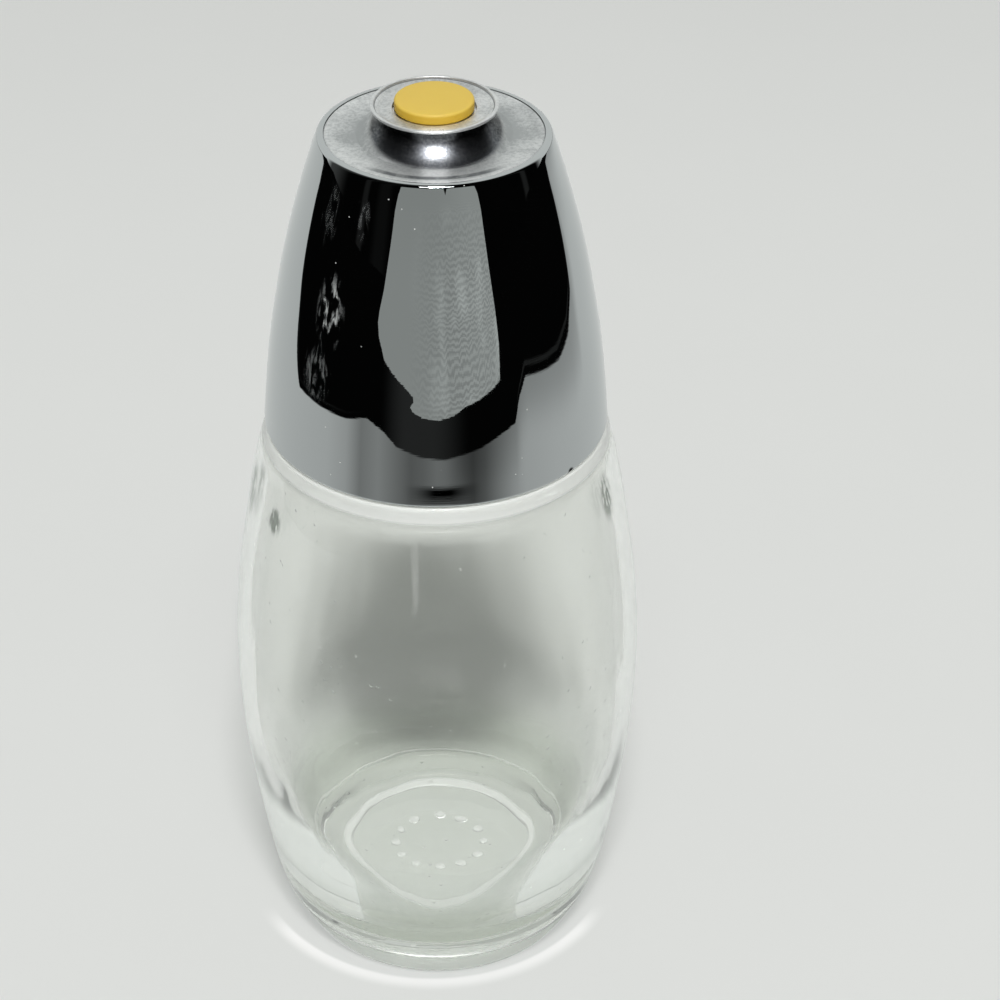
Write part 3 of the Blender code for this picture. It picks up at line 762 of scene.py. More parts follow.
# By place from front to back
plate_front_band = (-0.006, -0.014)
front_highlight_place_band = (-0.0040, -0.0070)
reflection_arc_front_band = (-0.0120, -0.0155)
neck_side_band = (-0.0075, -0.0025)
# By distance to the side
front_highlight_side_band = (0.0032, 0.0010)
under_lamp_band = (0.0042, 0.0030)
# Measured from the bead's inner radius, the bead's lower edge, the mouth's flat and the plate's height
on_bead_band = (-0.0004, -0.0001)
under_bead_band = (0, -0.0003)
mouth_rise_band = (0.0002, 0.0005)
neck_rise_band = (0.0002, 0.0036)
# Painted dark reflection, an arc across the front of the plate: distance from the axis and half width
reflection_arc_radius = 0.0171
reflection_arc_line = (0.0008, 0.0003)
# Dull places at the plate's sides: place across and away, and size along each axis
plate_dull_places = (
    ((-0.0135, 0), (0.0055, 0.0085, 0.002)),
    ((0.0140, 0.003), (0.0060, 0.0095, 0.002)),
)
# A speck on the bead: place across and away, size along each axis and strength
bead_speck = ((0.0085, -0.0026), (0.0004, 0.0004, 0.001), 0.9)
# Patterns on the plate: how often they repeat in a metre, and the noise at which they begin and are full
satin_clouds, satin_scratches, satin_grain, satin_patches, satin_pits = 300.0, 1500.0, 2600.0, 110.0, 900.0
cloud_band, scratch_band, patch_band = (0.38, 0.66), (0.42, 0.62), (0.45, 0.68)
pit_band, reflection_arc_break_band, grain_band = (0.52, 0.66), (0.35, 0.55), (0.36, 0.62)
pit_size = 0.10
# What clouds, fine scratches, patches, the dull places and the darkening close to the neck add to the wear,
# and how much lighter the front is painted, as lit, and how much less the neck wears
cloud_wear, scratch_wear, patch_wear, place_wear, near_neck_darkening = 0.35, 0.35, 0.25, 0.4, 0.45
front_lightening, neck_care = 0.3, 0.6
# How strongly each part shows, and the least that the arc and the neck's colour keep where they break up
bead_face, bead_strength, shade_line_strength, reflection_arc_strength, pit_strength = 0.35, 0.8, 0.75, 0.8, 0.6
reflection_arc_least, neck_least, lamp_clears = 0.55, 0.82, 0.85
# Relief, share of metal and roughness of the plate, and what the other parts take from them
satin_depth = 0.000012
satin_metal, highlight_metal_loss = 0.80, 0.45
satin_roughness, worn_roughness, smooth_neck, smooth_worn_neck, smooth_bead = 0.40, 0.10, 0.16, 0.06, 0.16


def satin_finish(colours, spout):
    """Worn satin plating, mottled and pitted, with a polished bead, a smooth neck painted with a dark
    reflection, a painted highlight in front of the flap, painted dark lines inside the bead and across the
    front, and a front painted lighter.
    """
    finish, where = start_finish("satin_plating")
    across, away, height = finish.axes(where)
    radius = from_axis(across, away)
    plate_height = shell_high.z
    bead_inner = spout.bead_radius - spout.bead_width
    bead_foot = spout.bead_top - spout.bead_edge

    under_bead = height.over(*(bead_foot + end for end in under_bead_band))
    under_bead = under_bead * radius.over(*(spout.mouth_flat + end for end in mouth_rise_band))
    neck = from_axis(across - neck_centre.x, away - neck_centre.y).over(*neck_band) * under_bead
    # Painted highlight: a pale patch on the plate in front of the flap, in the bead's colour
    lip = radius.over(*front_highlight_band) * away.over(*front_highlight_place_band) * across.size().over(*front_highlight_side_band)
    bead = radius.over(*(bead_inner + end for end in on_bead_band)) * bead_face
    bead = bead.most(lip) * (1 - under_bead)
    # Painted shade: a dark line at the bead's inner foot
    shade_line_radius = bead_inner - spout.bead_height / 4 - spout.shade_line_width / 2
    bead_foot_shade = radius.near(shade_line_radius, *(spout.shade_line_width * share for share in line_shares))
    bead_foot_shade = bead_foot_shade * (1 - under_bead)

    clouds = finish.noise(where, satin_clouds, detail=5.0, roughness=0.65)
    scratches = finish.noise(where, satin_scratches, detail=4.0, roughness=0.7)
    grain = finish.noise(where, satin_grain, detail=3.0, roughness=0.6)
    patches = finish.noise(where, satin_patches).over(*patch_band)
    pits = finish.specks(where, satin_pits, pit_size) * clouds.over(*pit_band)
    dull = sum(finish.spot(where, (*place, plate_height), size) for place, size in plate_dull_places)
    front = away.over(*plate_front_band)
    worn = clouds.over(*cloud_band) * cloud_wear + scratches.over(*scratch_band) * scratch_wear
    # Painted light: the front of the plate is made lighter, as lit
    worn = (worn + patches * patch_wear + dull * place_wear) * (1 - front * front_lightening)
    # Darker close to the neck, except at the front
    beside_neck = radius.over(*beside_neck_band) * (1 - front) * (1 - neck)
    worn = worn + beside_neck * near_neck_darkening * under_bead
    # Painted dark reflection: an arc across the front of the plate
    arc = radius.near(reflection_arc_radius, *reflection_arc_line) * away.over(*reflection_arc_front_band)
    arc = arc * (reflection_arc_least + clouds.over(*reflection_arc_break_band) * (1 - reflection_arc_least))

    shade = finish.blend(worn * (1 - neck * neck_care), colours.satin, colours.satin_wear)
    shade = finish.blend(bead * bead_strength, shade, colours.bead)
    # The neck's colour is painted shade: a dark reflection, darkest at the sides and higher up, lighter in a
    # strip under the lamp
    under_lamp = across.size().over(*under_lamp_band)
    rise = height.over(*(plate_height + end for end in neck_rise_band)) * (1 - under_lamp * lamp_clears)
    neck_shade = finish.blend(away.over(*neck_side_band).most(rise), colours.neck, colours.neck_side_painted_shade)
    neck_cover = neck * (neck_least + grain.over(*grain_band) * (1 - neck_least))
    shade = finish.blend(neck_cover, shade, neck_shade)
    shade = finish.blend(pits * pit_strength, shade, colours.tarnish_and_shade)
    speck_place, speck_size, speck_strength = bead_speck
    speck = finish.spot(where, (*speck_place, spout.bead_top), speck_size)
    shade = finish.blend(speck * speck_strength, shade, colours.tarnish_and_shade)
    shade = finish.blend(bead_foot_shade * shade_line_strength + arc * reflection_arc_strength, shade, colours.tarnish_and_shade)
    smoothing = neck * (smooth_neck + worn * smooth_worn_neck) + bead * smooth_bead
    return finish.show(finish.node("BsdfPrincipled", sockets={
        "Base Color": shade,
        "Metallic": satin_metal + neck * (1 - satin_metal) - lip * highlight_metal_loss,
        "Roughness": satin_roughness + worn * worn_roughness - smoothing,
        "Normal": finish.bump(grain + clouds * 0.5, satin_depth),
    }))


# The flap's top is painted paler, as lit from above, from this far under its top to this far, in radii of its
# upper edge
top_light_depths = (1.4, 0.2)
flap_clouds, flap_marks, flap_specks = 380.0, 2400.0, 800.0
flap_speck_size, flap_speck_band, flap_speck_strength = 0.07, (0.55, 0.66), 0.5
# How much of the painted light the top takes at least, and what its clouds add
least_top_light, cloud_top_light = 0.82, 0.3
flap_roughness, flap_cloud_roughness = 0.48, 0.10
flap_relief, flap_mark_share = 0.00003, 0.4
# Shine of the plastic, and how much light sinks into it and how far, by colour
flap_shine = 0.38
flap_glow, flap_glow_reach = 0.12, (0.0012, 0.0008, 0.0002)


def yellow_finish(colours, flap):
    """Satin yellow plastic, painted paler on top as lit and deeper on the sides as shaded, with fine marks.
    """
    finish, where = start_finish("yellow_plastic")
    _, _, height = finish.axes(where)
    lit = height.over(*(flap.top - flap.top_edge * depth for depth in top_light_depths))
    clouds = finish.noise(where, flap_clouds, detail=4.0, roughness=0.6)
    marks = finish.noise(where, flap_marks)
    specks = finish.specks(where, flap_specks, flap_speck_size) * clouds.over(*flap_speck_band)
    shade = finish.blend(lit * (least_top_light + clouds * cloud_top_light), colours.yellow_shaded, colours.yellow)
    return finish.show(finish.node("BsdfPrincipled", sockets={
        "Base Color": finish.blend(specks * flap_speck_strength, shade, colours.tarnish_and_shade),
        "Roughness": flap_roughness + clouds * flap_cloud_roughness,
        "Specular IOR Level": flap_shine,
        "Normal": finish.bump(clouds + marks * flap_mark_share, flap_relief),
        "Subsurface Weight": flap_glow,
        "Subsurface Radius": flap_glow_reach,
    }))


# Inner plastic and seal: clouds and grain in a metre, shade of the clouds, and what they add to the roughness
plain_clouds, plain_grain, plain_relief = 160.0, 1800.0, 0.00002
plain_dark_share, plain_cloud_roughness = 0.86, 0.15
# Pin: its drawing marks lie along X
steel_marks, steel_relief = (200, 6000, 6000), 0.000004
steel_dark_share, steel_roughness, steel_mark_roughness = 0.8, 0.22, 0.12


def plain_plastic_finish(name, shade, roughness):
    """Moulded plastic or rubber with a fine grain and faint clouding."""
    finish, where = start_finish(name)
    clouds = finish.noise(where, plain_clouds, detail=3.0)
    return finish.show(finish.node("BsdfPrincipled", sockets={
        "Base Color": finish.blend(clouds, [part * plain_dark_share for part in shade], shade),
        "Roughness": roughness + clouds * plain_cloud_roughness,
        "Normal": finish.bump(finish.noise(where, plain_grain), plain_relief),
    }))


def steel_finish(shade):
    """Drawn steel with lengthwise marks."""
    finish, where = start_finish("drawn_steel")
    marks = finish.noise(finish.stretched(where, steel_marks))
    return finish.show(finish.node("BsdfPrincipled", sockets={
        "Base Color": finish.blend(marks, [part * steel_dark_share for part in shade], shade),
        "Metallic": 1.0,
        "Roughness": steel_roughness + marks * steel_mark_roughness,
        "Normal": finish.bump(marks, steel_relief),
    }))


def jar_outline(jar):
    """The jar's section: foot, side with its parting line, neck, then down the inside to the floor."""
    side_at = curve_through(jar_side_shares, jar.shoulder_height, jar.belly_radius)

    def inside_at(z):
        even = side_at(z) - jar.wall
        leaning = jar.floor_radius + (z - jar.floor) * jar.heel_lean
        wall_side = (even + leaning - math.hypot(even - leaning, jar.heel_blend)) / 2
        top = jar.shoulder_height - jar.inner_shoulder_drop
        rise = min(max((z - top + jar.inner_shoulder_run) / jar.inner_shoulder_run, 0), 1)
        closing = rise**2 * (3 - 2 * rise)
        return wall_side * (1 - closing) + jar.bore_radius * closing

    # Foot and outside, from the hollow's middle up to the lip
    seam_low = jar.seam_height - jar.seam_width / 2
    seam_top = jar.seam_height + jar.seam_width / 2
    side_top = jar.shoulder_height - 2 * jar.shoulder_edge
    kick_radii = spread(0, jar.kick_radius, wall_steps)
    corners = [(r, jar.kick_depth * (1 - (r / jar.kick_radius) ** 2), 0) for r in kick_radii]
    corners.append((side_at(0), 0, jar.heel_corner))
    corners += [(side_at(z), z, 0) for z in spread(jar.heel_corner, seam_low, corner_steps)]
    corners.append((side_at(jar.seam_height) + jar.seam_rise, jar.seam_height, jar.seam_width / 2))
    corners += [(side_at(z), z, 0) for z in spread(seam_top, side_top, side_steps)]
    corners += [
        (side_at(jar.shoulder_height), jar.shoulder_height, jar.shoulder_edge),
        (jar.neck_radius, jar.shoulder_height, jar.neck_foot_fillet),
        (jar.neck_radius, jar.neck_top, jar.lip_edge),
        (jar.bore_radius, jar.neck_top, jar.lip_edge),
    ]
    # Inside, down to the floor's corner
    inner_top = jar.shoulder_height - jar.inner_shoulder_drop
    inner_turn = inner_top - jar.inner_shoulder_run
    corner_top = jar.floor + jar.floor_corner
    corners += [(inside_at(z), z, 0) for z in spread(inner_top, inner_turn, wall_steps)]
    corners += [(inside_at(z), z, 0) for z in spread(inner_turn, corner_top, side_steps)[1:]]
    corner_radius = inside_at(corner_top) - jar.floor_corner
    for angle in spread(0, math.pi / 2, 2 * corner_steps)[1:]:
        across = jar.floor_corner * math.cos(angle)
        down = jar.floor_corner * math.sin(angle)
        corners.append((corner_radius + across, corner_top - down, 0))
    # Floor: it slopes to the step round the flat, with rings near the step to keep the slope's shading even
    dish = jar.floor - jar.dish_depth
    dish_edge = jar.dish_radius + jar.dish_step
    dish_radii = spread(corner_radius, dish_edge + 2 * jar.dish_step, corner_steps)
    dish_slope = jar.dish_depth / (corner_radius - dish_edge)
    corners += [(r, jar.floor - (corner_radius - r) * dish_slope, 0) for r in dish_radii[1:]]
    corners.append((dish_edge, dish, jar.dish_step))
    corners.append((jar.dish_radius, dish - jar.dish_step, jar.dish_step))
    corners.append((jar.dish_radius - 2 * jar.dish_step, dish - jar.dish_step, 0))
    corners.append((0, dish - jar.dish_step, 0))
    return filleted(corners, closed=False)


# Steps round a pip, from its foot to its top and round a rod
pip_steps = 24
pip_rings = 12
rod_steps = 48


def floor_pips(jar):
    """A ring of low round pips for the floor, as one tool."""
    level = jar.floor - jar.dish_depth - jar.dish_step
    pips = []
    for step in range(jar.pip_count):
        turn = 2 * math.pi * step / jar.pip_count
        clear_selection()
        bpy.ops.mesh.primitive_uv_sphere_add(
            segments=pip_steps, ring_count=pip_rings, radius=jar.pip_radius,
            location=(jar.pip_ring * math.cos(turn), jar.pip_ring * math.sin(turn), level),
            scale=(1, 1, jar.pip_height / jar.pip_radius))
        pips.append(bpy.context.object)
    only(pips[0])
    for pip in pips:
        pip.select_set(True)
    bpy.ops.object.join()
    bpy.ops.object.transform_apply(location=True, rotation=True, scale=True)
    pips[0].name = "floor_pips"
    return pips[0]


def thread_ridge(jar):
    """A helical ridge for the neck: its section is drawn, then screwed up round the axis and closed."""
    turn_steps = jar.segments // 2
    steps = round(jar.thread_turns * turn_steps)
    root = jar.neck_radius - jar.thread_sink
    tip = jar.neck_radius + jar.thread_depth
    base = jar.shoulder_height + jar.thread_start
    section = [
        Vector((root, 0, base - jar.thread_root / 2)), Vector((tip, 0, base - jar.thread_tip / 2)),
        Vector((tip, 0, base + jar.thread_tip / 2)), Vector((root, 0, base + jar.thread_root / 2)),
    ]
    ridge = draw_chain("neck_thread", section, True)
    bpy.ops.object.mode_set(mode="OBJECT")
    screw = ridge.modifiers.new("helix", "SCREW")
    screw.angle = 2 * math.pi * steps / turn_steps
    screw.screw_offset = jar.thread_lead * steps / turn_steps
    screw.steps = steps
    screw.render_steps = steps
    screw.use_smooth_shade = False
    only(ridge)
    bpy.ops.object.modifier_apply(modifier=screw.name)
    bpy.ops.object.mode_set(mode="EDIT")
    bpy.ops.mesh.select_all(action="DESELECT")
    bpy.ops.mesh.select_mode(type="VERT")
    bpy.ops.mesh.select_non_manifold(extend=False, use_wire=True, use_boundary=True)
    bpy.ops.mesh.edge_face_add()
    bpy.ops.object.mode_set(mode="OBJECT")
    return ridge


class DISPENSER_OT_glass_jar(bpy.types.Operator):
    """Turn the glass jar with its threaded neck"""
    bl_idname = "dispenser.glass_jar"
    bl_label = "Glass jar"

    def execute(self, context):
        scene = context.scene
        jar = scene.dispenser_jar
        piece = turned_piece("glass_jar_pressed", jar_outline(jar), jar.segments, closed=False)
        combine(piece, thread_ridge(jar), "UNION")
        combine(piece, floor_pips(jar), "UNION")
        tidy_mesh(piece)
        dress(piece, "jar", "glass_jar", glass_finish(scene.dispenser_colours, jar))
        return {"FINISHED"}


def cap_side(cap):
    """The cap's outer radius, as a function of the height over its rim."""
    return curve_through(cap_side_shares, cap.top - cap.bottom, cap.rim_radius)


class DISPENSER_OT_cap_shell(bpy.types.Operator):
    """Turn the plated shell of the cap"""
    bl_idname = "dispenser.cap_shell"
    bl_label = "Cap shell"

    def execute(self, context):
        scene = context.scene
        cap = scene.dispenser_cap
        height = cap.top - cap.bottom
        side_at = cap_side(cap)
        rises = spread(2 * cap.rim_edge, height - 2 * cap.top_edge, side_steps)
        corners = [(side_at(0), cap.bottom, cap.rim_edge)]
        corners += [(side_at(rise), cap.bottom + rise, 0) for rise in rises]
        corners += [(side_at(height), cap.top, cap.top_edge), (side_at(height) - cap.wall, cap.top, 0)]
        corners += [(side_at(rise) - cap.wall, cap.bottom + rise, 0) for rise in reversed(rises)]
        corners.append((side_at(0) - cap.wall, cap.bottom, cap.rim_edge))
        piece = turned_piece("cap_shell_plated", filleted(corners), cap.segments)
        dress(piece, "cap", "cap_shell", chrome_finish(scene.dispenser_colours))
        return {"FINISHED"}


class DISPENSER_OT_spout_plate(bpy.types.Operator):
    """Turn the satin plate with its trumpet neck and mouth"""
    bl_idname = "dispenser.spout_plate"
    bl_label = "Spout plate"

    def execute(self, context):
        scene = context.scene
        cap, spout = scene.dispenser_cap, scene.dispenser_spout
        side_at = cap_side(cap)
        rim_top = side_at(cap.top - cap.bottom) - cap.wall - spout.side_gap
        rim_foot = side_at(spout.rim_bottom - cap.bottom) - cap.wall - spout.side_gap
        underside = cap.top - spout.thickness
        plate_top = spout.bead_top - spout.bead_height
        mouth_bottom = spout.mouth_top - spout.mouth_thickness
        bead_bottom = spout.bead_top - spout.bead_edge
        bead_inner = spout.bead_radius - spout.bead_width
        neck_foot = cap.top - spout.dish_depth
        neck_at = curve_through(neck_side_shares, bead_bottom - neck_foot, spout.flare_radius)
        rises = spread(0, bead_bottom - neck_foot, side_steps)
        neck = [(neck_at(rise), neck_foot + rise, 0) for rise in rises]
        outline = filleted([
            (spout.mouth_radius, mouth_bottom, 0),
            (spout.bore_radius, mouth_bottom, 0),
            (spout.bore_radius, underside, spout.bore_fillet),
            (rim_foot - spout.thickness, underside, 0),
            (rim_foot - spout.thickness, spout.rim_bottom, 0),
            (rim_foot, spout.rim_bottom, 0),
            (rim_top, cap.top, spout.rim_fillet),
            (spout.dish_radius, cap.top, 0),
            *neck,
            (spout.bead_radius, bead_bottom, spout.bead_edge / 2),
            (spout.bead_radius, spout.bead_top, spout.bead_height),
            (bead_inner, spout.bead_top, spout.bead_height / 2),
            (bead_inner - spout.bead_height / 4, plate_top, 0),
            (spout.mouth_flat, spout.mouth_top, spout.bead_width),
            (spout.mouth_radius, spout.mouth_top, spout.mouth_edge),
        ])
        piece = turned_piece("spout_plate_pressed", outline, spout.segments)
        dress(piece, "cap", "spout_plate", satin_finish(scene.dispenser_colours, spout))
        return {"FINISHED"}


def flap_underside(flap):
    """Height of the flap's underside over its seat."""
    return seat_high.z + flap.seat_gap


def flap_lug(flap, hinge):
    """The arm from the knuckle up to the flap's underside: its outline is drawn and pushed out sideways."""
    underside = flap_underside(flap) - hinge.z
    buried = (underside + flap.top - flap.rise - hinge.z) / 2
    mouth = flap.radius + flap.mouth_gap
    edge = math.sqrt(mouth**2 - (flap.knuckle_width / 2) ** 2) - hinge.y - flap.running_gap

    def back_at(height):
        return (edge - height * math.sin(flap.opening)) / math.cos(flap.opening)

    outline = [
        (0, 0), (back_at(flap.knuckle_radius), flap.knuckle_radius), (back_at(underside), underside),
        (back_at(buried) - flap.running_gap, buried), (-flap.lug_reach, buried), (-flap.lug_reach, underside),
        (-flap.knuckle_radius, 0),
    ]
    corner = Vector((-flap.knuckle_width / 2, hinge.y, hinge.z))
    lug = draw_chain("flap_lug", [corner + Vector((0, y, z)) for y, z in outline], True)
    bpy.ops.mesh.edge_face_add()
    bpy.ops.mesh.extrude_region_move(TRANSFORM_OT_translate={"value": (flap.knuckle_width, 0, 0)})
    tidy_mesh(lug)
    return lug


def cross_rod(name, radius, width, centre):
    """A rod across the flap, along X."""
    clear_selection()
    bpy.ops.mesh.primitive_cylinder_add(
        vertices=rod_steps, radius=radius, depth=width, location=centre, rotation=(0, math.pi / 2, 0))
    rod = bpy.context.object
    rod.name = name
    bpy.ops.object.transform_apply(location=True, rotation=True, scale=True)
    return rod


# How far the room for the mouth's edge reaches out, in flap radii
relief_reach = 1.6


def mouth_relief(flap, hinge, share):
    """The room that the mouth's edge needs in the flap at a share of its opening."""
    mouth_top = flap.top - flap.rise
    inner = flap.radius + flap.mouth_gap - flap.running_gap
    outer = inner * relief_reach
    low, high = flap_underside(flap) - flap.running_gap, mouth_top + flap.running_gap
    outline = ((inner, low), (outer, low), (outer, high), (inner, high))
    tool = turned_piece("mouth_relief", outline, flap.segments)
    turn = Matrix.Rotation(share * flap.opening, 4, "X")
    place(tool, Matrix.Translation(hinge) @ turn @ Matrix.Translation(-hinge))
    return tool


class DISPENSER_OT_pour_flap(bpy.types.Operator):
    """Turn the yellow flap, clear it of the mouth's edge and give it its lug with the pin's hole"""
    bl_idname = "dispenser.pour_flap"
    bl_label = "Pour flap"

    def execute(self, context):
        scene = context.scene
        flap = scene.dispenser_flap
        hinge = Vector(flap_joint["pos_m"])
        mouth_top = flap.top - flap.rise
        underside = flap_underside(flap)
        outline = filleted([
            (0, underside, 0),
            (flap.plug_radius, underside, 0),
            (flap.radius, mouth_top, 0),
            (flap.radius, flap.top - flap.crown, flap.top_edge),
            (flap.radius / 2, flap.top - flap.crown / 4, 0),
            (0, flap.top, 0),
        ], closed=False)
        piece = turned_piece("pour_flap_disc", outline, flap.segments, closed=False)
        for cut in range(1, flap.relief_cuts + 1):
            combine(piece, mouth_relief(flap, hinge, cut / flap.relief_cuts), "DIFFERENCE")
        combine(piece, flap_lug(flap, hinge), "UNION")
        combine(piece, cross_rod("knuckle", flap.knuckle_radius, flap.knuckle_width, hinge), "UNION")
        combine(piece, cross_rod("pin_hole", flap.pin_hole, 2 * flap.knuckle_width, hinge), "DIFFERENCE")
        tidy_mesh(piece)
        dress(piece, "flap", "pour_flap", yellow_finish(scene.dispenser_colours, flap))
        return {"FINISHED"}


class DISPENSER_OT_inner_parts(bpy.types.Operator):
    """Finish the collar, seal, funnel, flap seat and hinge pin"""
    bl_idname = "dispenser.inner_parts"
    bl_label = "Inner parts"

    def execute(self, context):
        colours = context.scene.dispenser_colours
        white = plain_plastic_finish("white_plastic", tuple(colours.white), roughness=0.35)
        finishes = {
            "threaded_collar": white,
            "inner_funnel": white,
            "flap_seat": white,
            "sealing_ring": plain_plastic_finish("soft_seal", tuple(colours.seal), roughness=0.6),
            "hinge_pin": steel_finish(tuple(colours.steel)),
        }
        for name, material in finishes.items():
            for slot in frame["nodes"][name].material_slots:
                slot.material = material
        return {"FINISHED"}


# Edge of the pale sheet as the mirror sees it: share of a turn from the back, and a share of nearness
sheet_edge_shares = (
    (0.000, 0.000), (0.166, 0.190), (0.178, 0.390), (0.188, 0.556), (0.200, 0.730), (0.225, 0.904),
    (0.284, 0.860), (0.337, 0.813), (0.377, 0.733), (0.408, 0.790), (0.431, 0.865), (0.471, 0.900),
    (0.514, 0.912), (0.578, 0.880), (0.641, 0.806), (0.650, 0.656), (0.666, 0.575), (0.716, 0.648),
    (0.747, 0.688), (0.783, 0.694), (0.808, 0.619), (0.821, 0.417), (0.833, 0.195), (1.000, 0.000),
)
# Brightness of the sheet's front, by a share of a turn from the back
sheet_front_shares = (
    (0.000, 0.68), (0.250, 0.54), (0.300, 0.51), (0.339, 0.42), (0.367, 0.23), (0.400, 0.29),
    (0.430, 0.20), (0.456, 0.127), (0.478, 0.15), (0.500, 0.20), (0.517, 0.19), (0.539, 0.14),
    (0.561, 0.08), (0.583, 0.135), (0.608, 0.26), (0.633, 0.38), (0.656, 0.47), (0.722, 0.53),
    (1.000, 0.68),
)
# Nearness is this length over the distance from the jar, so that the sheet's far edge keeps its detail
nearest_edge = 0.3
# Bands of the floor's finish. By distance from the jar: the glow through its foot, the far floor that
# melts into the backdrop, and the sheet's far part, which takes its brightness from the table
under_jar_band = (0.034, 0.026)
horizon_band = (0.7, 2.0)
sheet_far_band = (0.17, 0.24)
# By place from front to back
floor_away_band = (-0.15, 0.35)
light_ring_front = (-0.008, -0.018)
blot_front = (0, -0.1)
# The ring of light on the floor: its middle, and where it begins and ends
light_ring_centre = Vector((-0.0011, 0.0067))
light_ring_start = (0.0356, 0.0364)
light_ring_end = (0.0396, 0.0366)
# The floor's own brightness, and what its clouds and its far part add. Share of glow under the jar
floor_level, floor_cloud_level, floor_away_level = 0.945, 0.025, 0.09
stage_clouds = 14.0
under_jar_glow = 0.38
# Brightness of the sheet close to the jar and of the room beyond the sheet
sheet_near_level = 0.6
room_level = 0.0015
# The right part of the sheet fades to the side and with nearness
sheet_fade_side = (0.01, 0.10)
sheet_fade_near = (0.42, -0.05)
sheet_fade = 0.38
sheet_edge_band = (-0.006, 0.006)
# Far out at the sides a faint line runs along the sheet's edge: nearness past it, width and brightness
edge_line = (-0.045, 0.012, 0.004)
edge_line_side = (0.30, 0.45)
edge_line_level = 0.016
# A faint glow beyond the sheet's front, by share of a turn, and its brightness
front_glow_start, front_glow_end = (0.40, 0.45), (0.56, 0.49)
front_glow_level = 0.022
# A dark blot on the sheet's front: distance from the jar, place across, and how each side fades
blot_distance = (0.2772, 0.0110, 0.0010)
blot_across = (0.017, 0.120, 0.020)


def mirror_rays(finish):
    """1 for rays that a polished surface reflects, and 0 for all others."""
    glossy = finish.node("LightPath", output="Is Glossy Ray")
    crossings = finish.node("LightPath", output="Transmission Depth")
    return glossy * (1 - crossings.least(1))


def floor_finish(stage):
    """A pale floor with a ring of light. In polished surfaces it shows as a sheet in a darker room."""
    finish, where = start_finish("pale_floor")
    across, away, _ = finish.axes(where)
    distance = from_axis(across, away)
    level = finish.noise(where, stage_clouds, detail=4.0) * floor_cloud_level
    level = level + away.over(*floor_away_band) * floor_away_level + floor_level
    shade = finish.tinted(stage.floor_colour, level)
    ring = from_axis(across - light_ring_centre.x, away - light_ring_centre.y)
    gathered = ring.over(*light_ring_start) * ring.over(*light_ring_end) * away.over(*light_ring_front)
    shade = finish.blend(gathered, shade, stage.gathered)
    glowing = (distance.over(*under_jar_band) * under_jar_glow).most(distance.over(*horizon_band))
    seen = finish.mixed(
        glowing,
        finish.node("BsdfDiffuse", sockets={"Color": shade}),
        finish.node("Emission", sockets={"Color": stage.backdrop}))

    turn = across.maths("ARCTAN2", -1 * away) / (2 * math.pi) + 0.5
    edge = finish.node("FloatCurve", {"points": sheet_edge_shares}, {"Value": turn})
    front = finish.node("FloatCurve", {"points": sheet_front_shares}, {"Value": turn})
    nearness = nearest_edge / distance - edge
    inside = nearness.over(*sheet_edge_band)
    far = distance.over(*sheet_far_band)
    fading = 1 - across.over(*sheet_fade_side) * nearness.over(*sheet_fade_near) * sheet_fade
    blot = distance.near(*blot_distance) * across.near(*blot_across) * away.over(*blot_front)
    sheet = (front * far + sheet_near_level * (1 - far)) * fading * (1 - blot)
    line = nearness.near(*edge_line) * across.size().over(*edge_line_side) * edge_line_level
    glow = turn.over(*front_glow_start) * turn.over(*front_glow_end) * front_glow_level
    level = inside * sheet + (1 - inside) * (room_level + line + glow)
    mirrored = finish.node("Emission", sockets={
        "Color": finish.tinted(stage.backdrop, level / stage.backdrop[0])})
    return finish.show(finish.mixed(mirror_rays(finish), seen, mirrored))


# Bands of the grey panel's finish, across and up
ripple_side_band = (-0.14, 0.12)
ripple_height_band = (0.24, 0.13)
panel_side_band = (-0.02, 0.20)
panel_top_band = (0.14, 0.24)
panel_cloud_band = (0.48, 0.68)
# Brightness of the panel, and what its right side, its top, its ripples and its clouds add or take
panel_level, panel_side_level, panel_top_level = 0.345, 0.045, 0.02
ripple_level, panel_cloud_level = 0.15, 0.12


def panel_finish(stage):
    """The grey panel that the cap's front reflects, with fine ripples in its lower half."""
    finish, where = start_finish("grey_panel")
    across, _, up = finish.axes(where)
    bands = finish.node("TexWave", {"wave_type": "BANDS", "bands_direction": "Z"}, {
        "Vector": where, "Scale": 55.0, "Distortion": 9.0, "Detail": 2.0, "Detail Scale": 0.9})
    clouds = finish.noise(where, stage_clouds, detail=3.0).over(*panel_cloud_band)
    rippled = across.over(*ripple_side_band) * up.over(*ripple_height_band)
    level = panel_level + across.over(*panel_side_band) * panel_side_level
    level = level - up.over(*panel_top_band) * panel_top_level
    level = level + ((bands - 0.5) * ripple_level + clouds * panel_cloud_level) * rippled
    return finish.show(finish.node("Emission", sockets={"Color": finish.tinted(stage.panel_colour, level)}))


# Outline of the grey panel, as places across and up
panel_outline = (
    (-0.196, 0.340), (-0.207, 0.253), (-0.221, 0.209), (-0.236, 0.170), (-0.256, 0.130), (-0.276, 0.105),
    (-0.282, 0.088), (-0.270, 0.073), (-0.231, 0.061), (-0.176, 0.061), (-0.126, 0.060), (-0.088, 0.056),
    (-0.086, 0.051), (-0.100, 0.045), (-0.087, 0.041), (-0.053, 0.038), (0.013, 0.037), (0.065, 0.039),
    (0.109, 0.044), (0.193, 0.040), (0.302, 0.032), (0.312, 0.056), (0.302, 0.101), (0.283, 0.154),
    (0.275, 0.189), (0.266, 0.219), (0.236, 0.340), (0.074, 0.340), (0.054, 0.243), (0.036, 0.340),
)
def build_floor(stage):
    """Lay the floor just under the jar's foot."""
    clear_selection()
    bpy.ops.mesh.primitive_plane_add(size=stage.floor_size, location=(0, 0, -stage.floor_gap))
    floor = bpy.context.object
    floor.name = "pale_floor"
    floor.data.materials.append(floor_finish(stage))


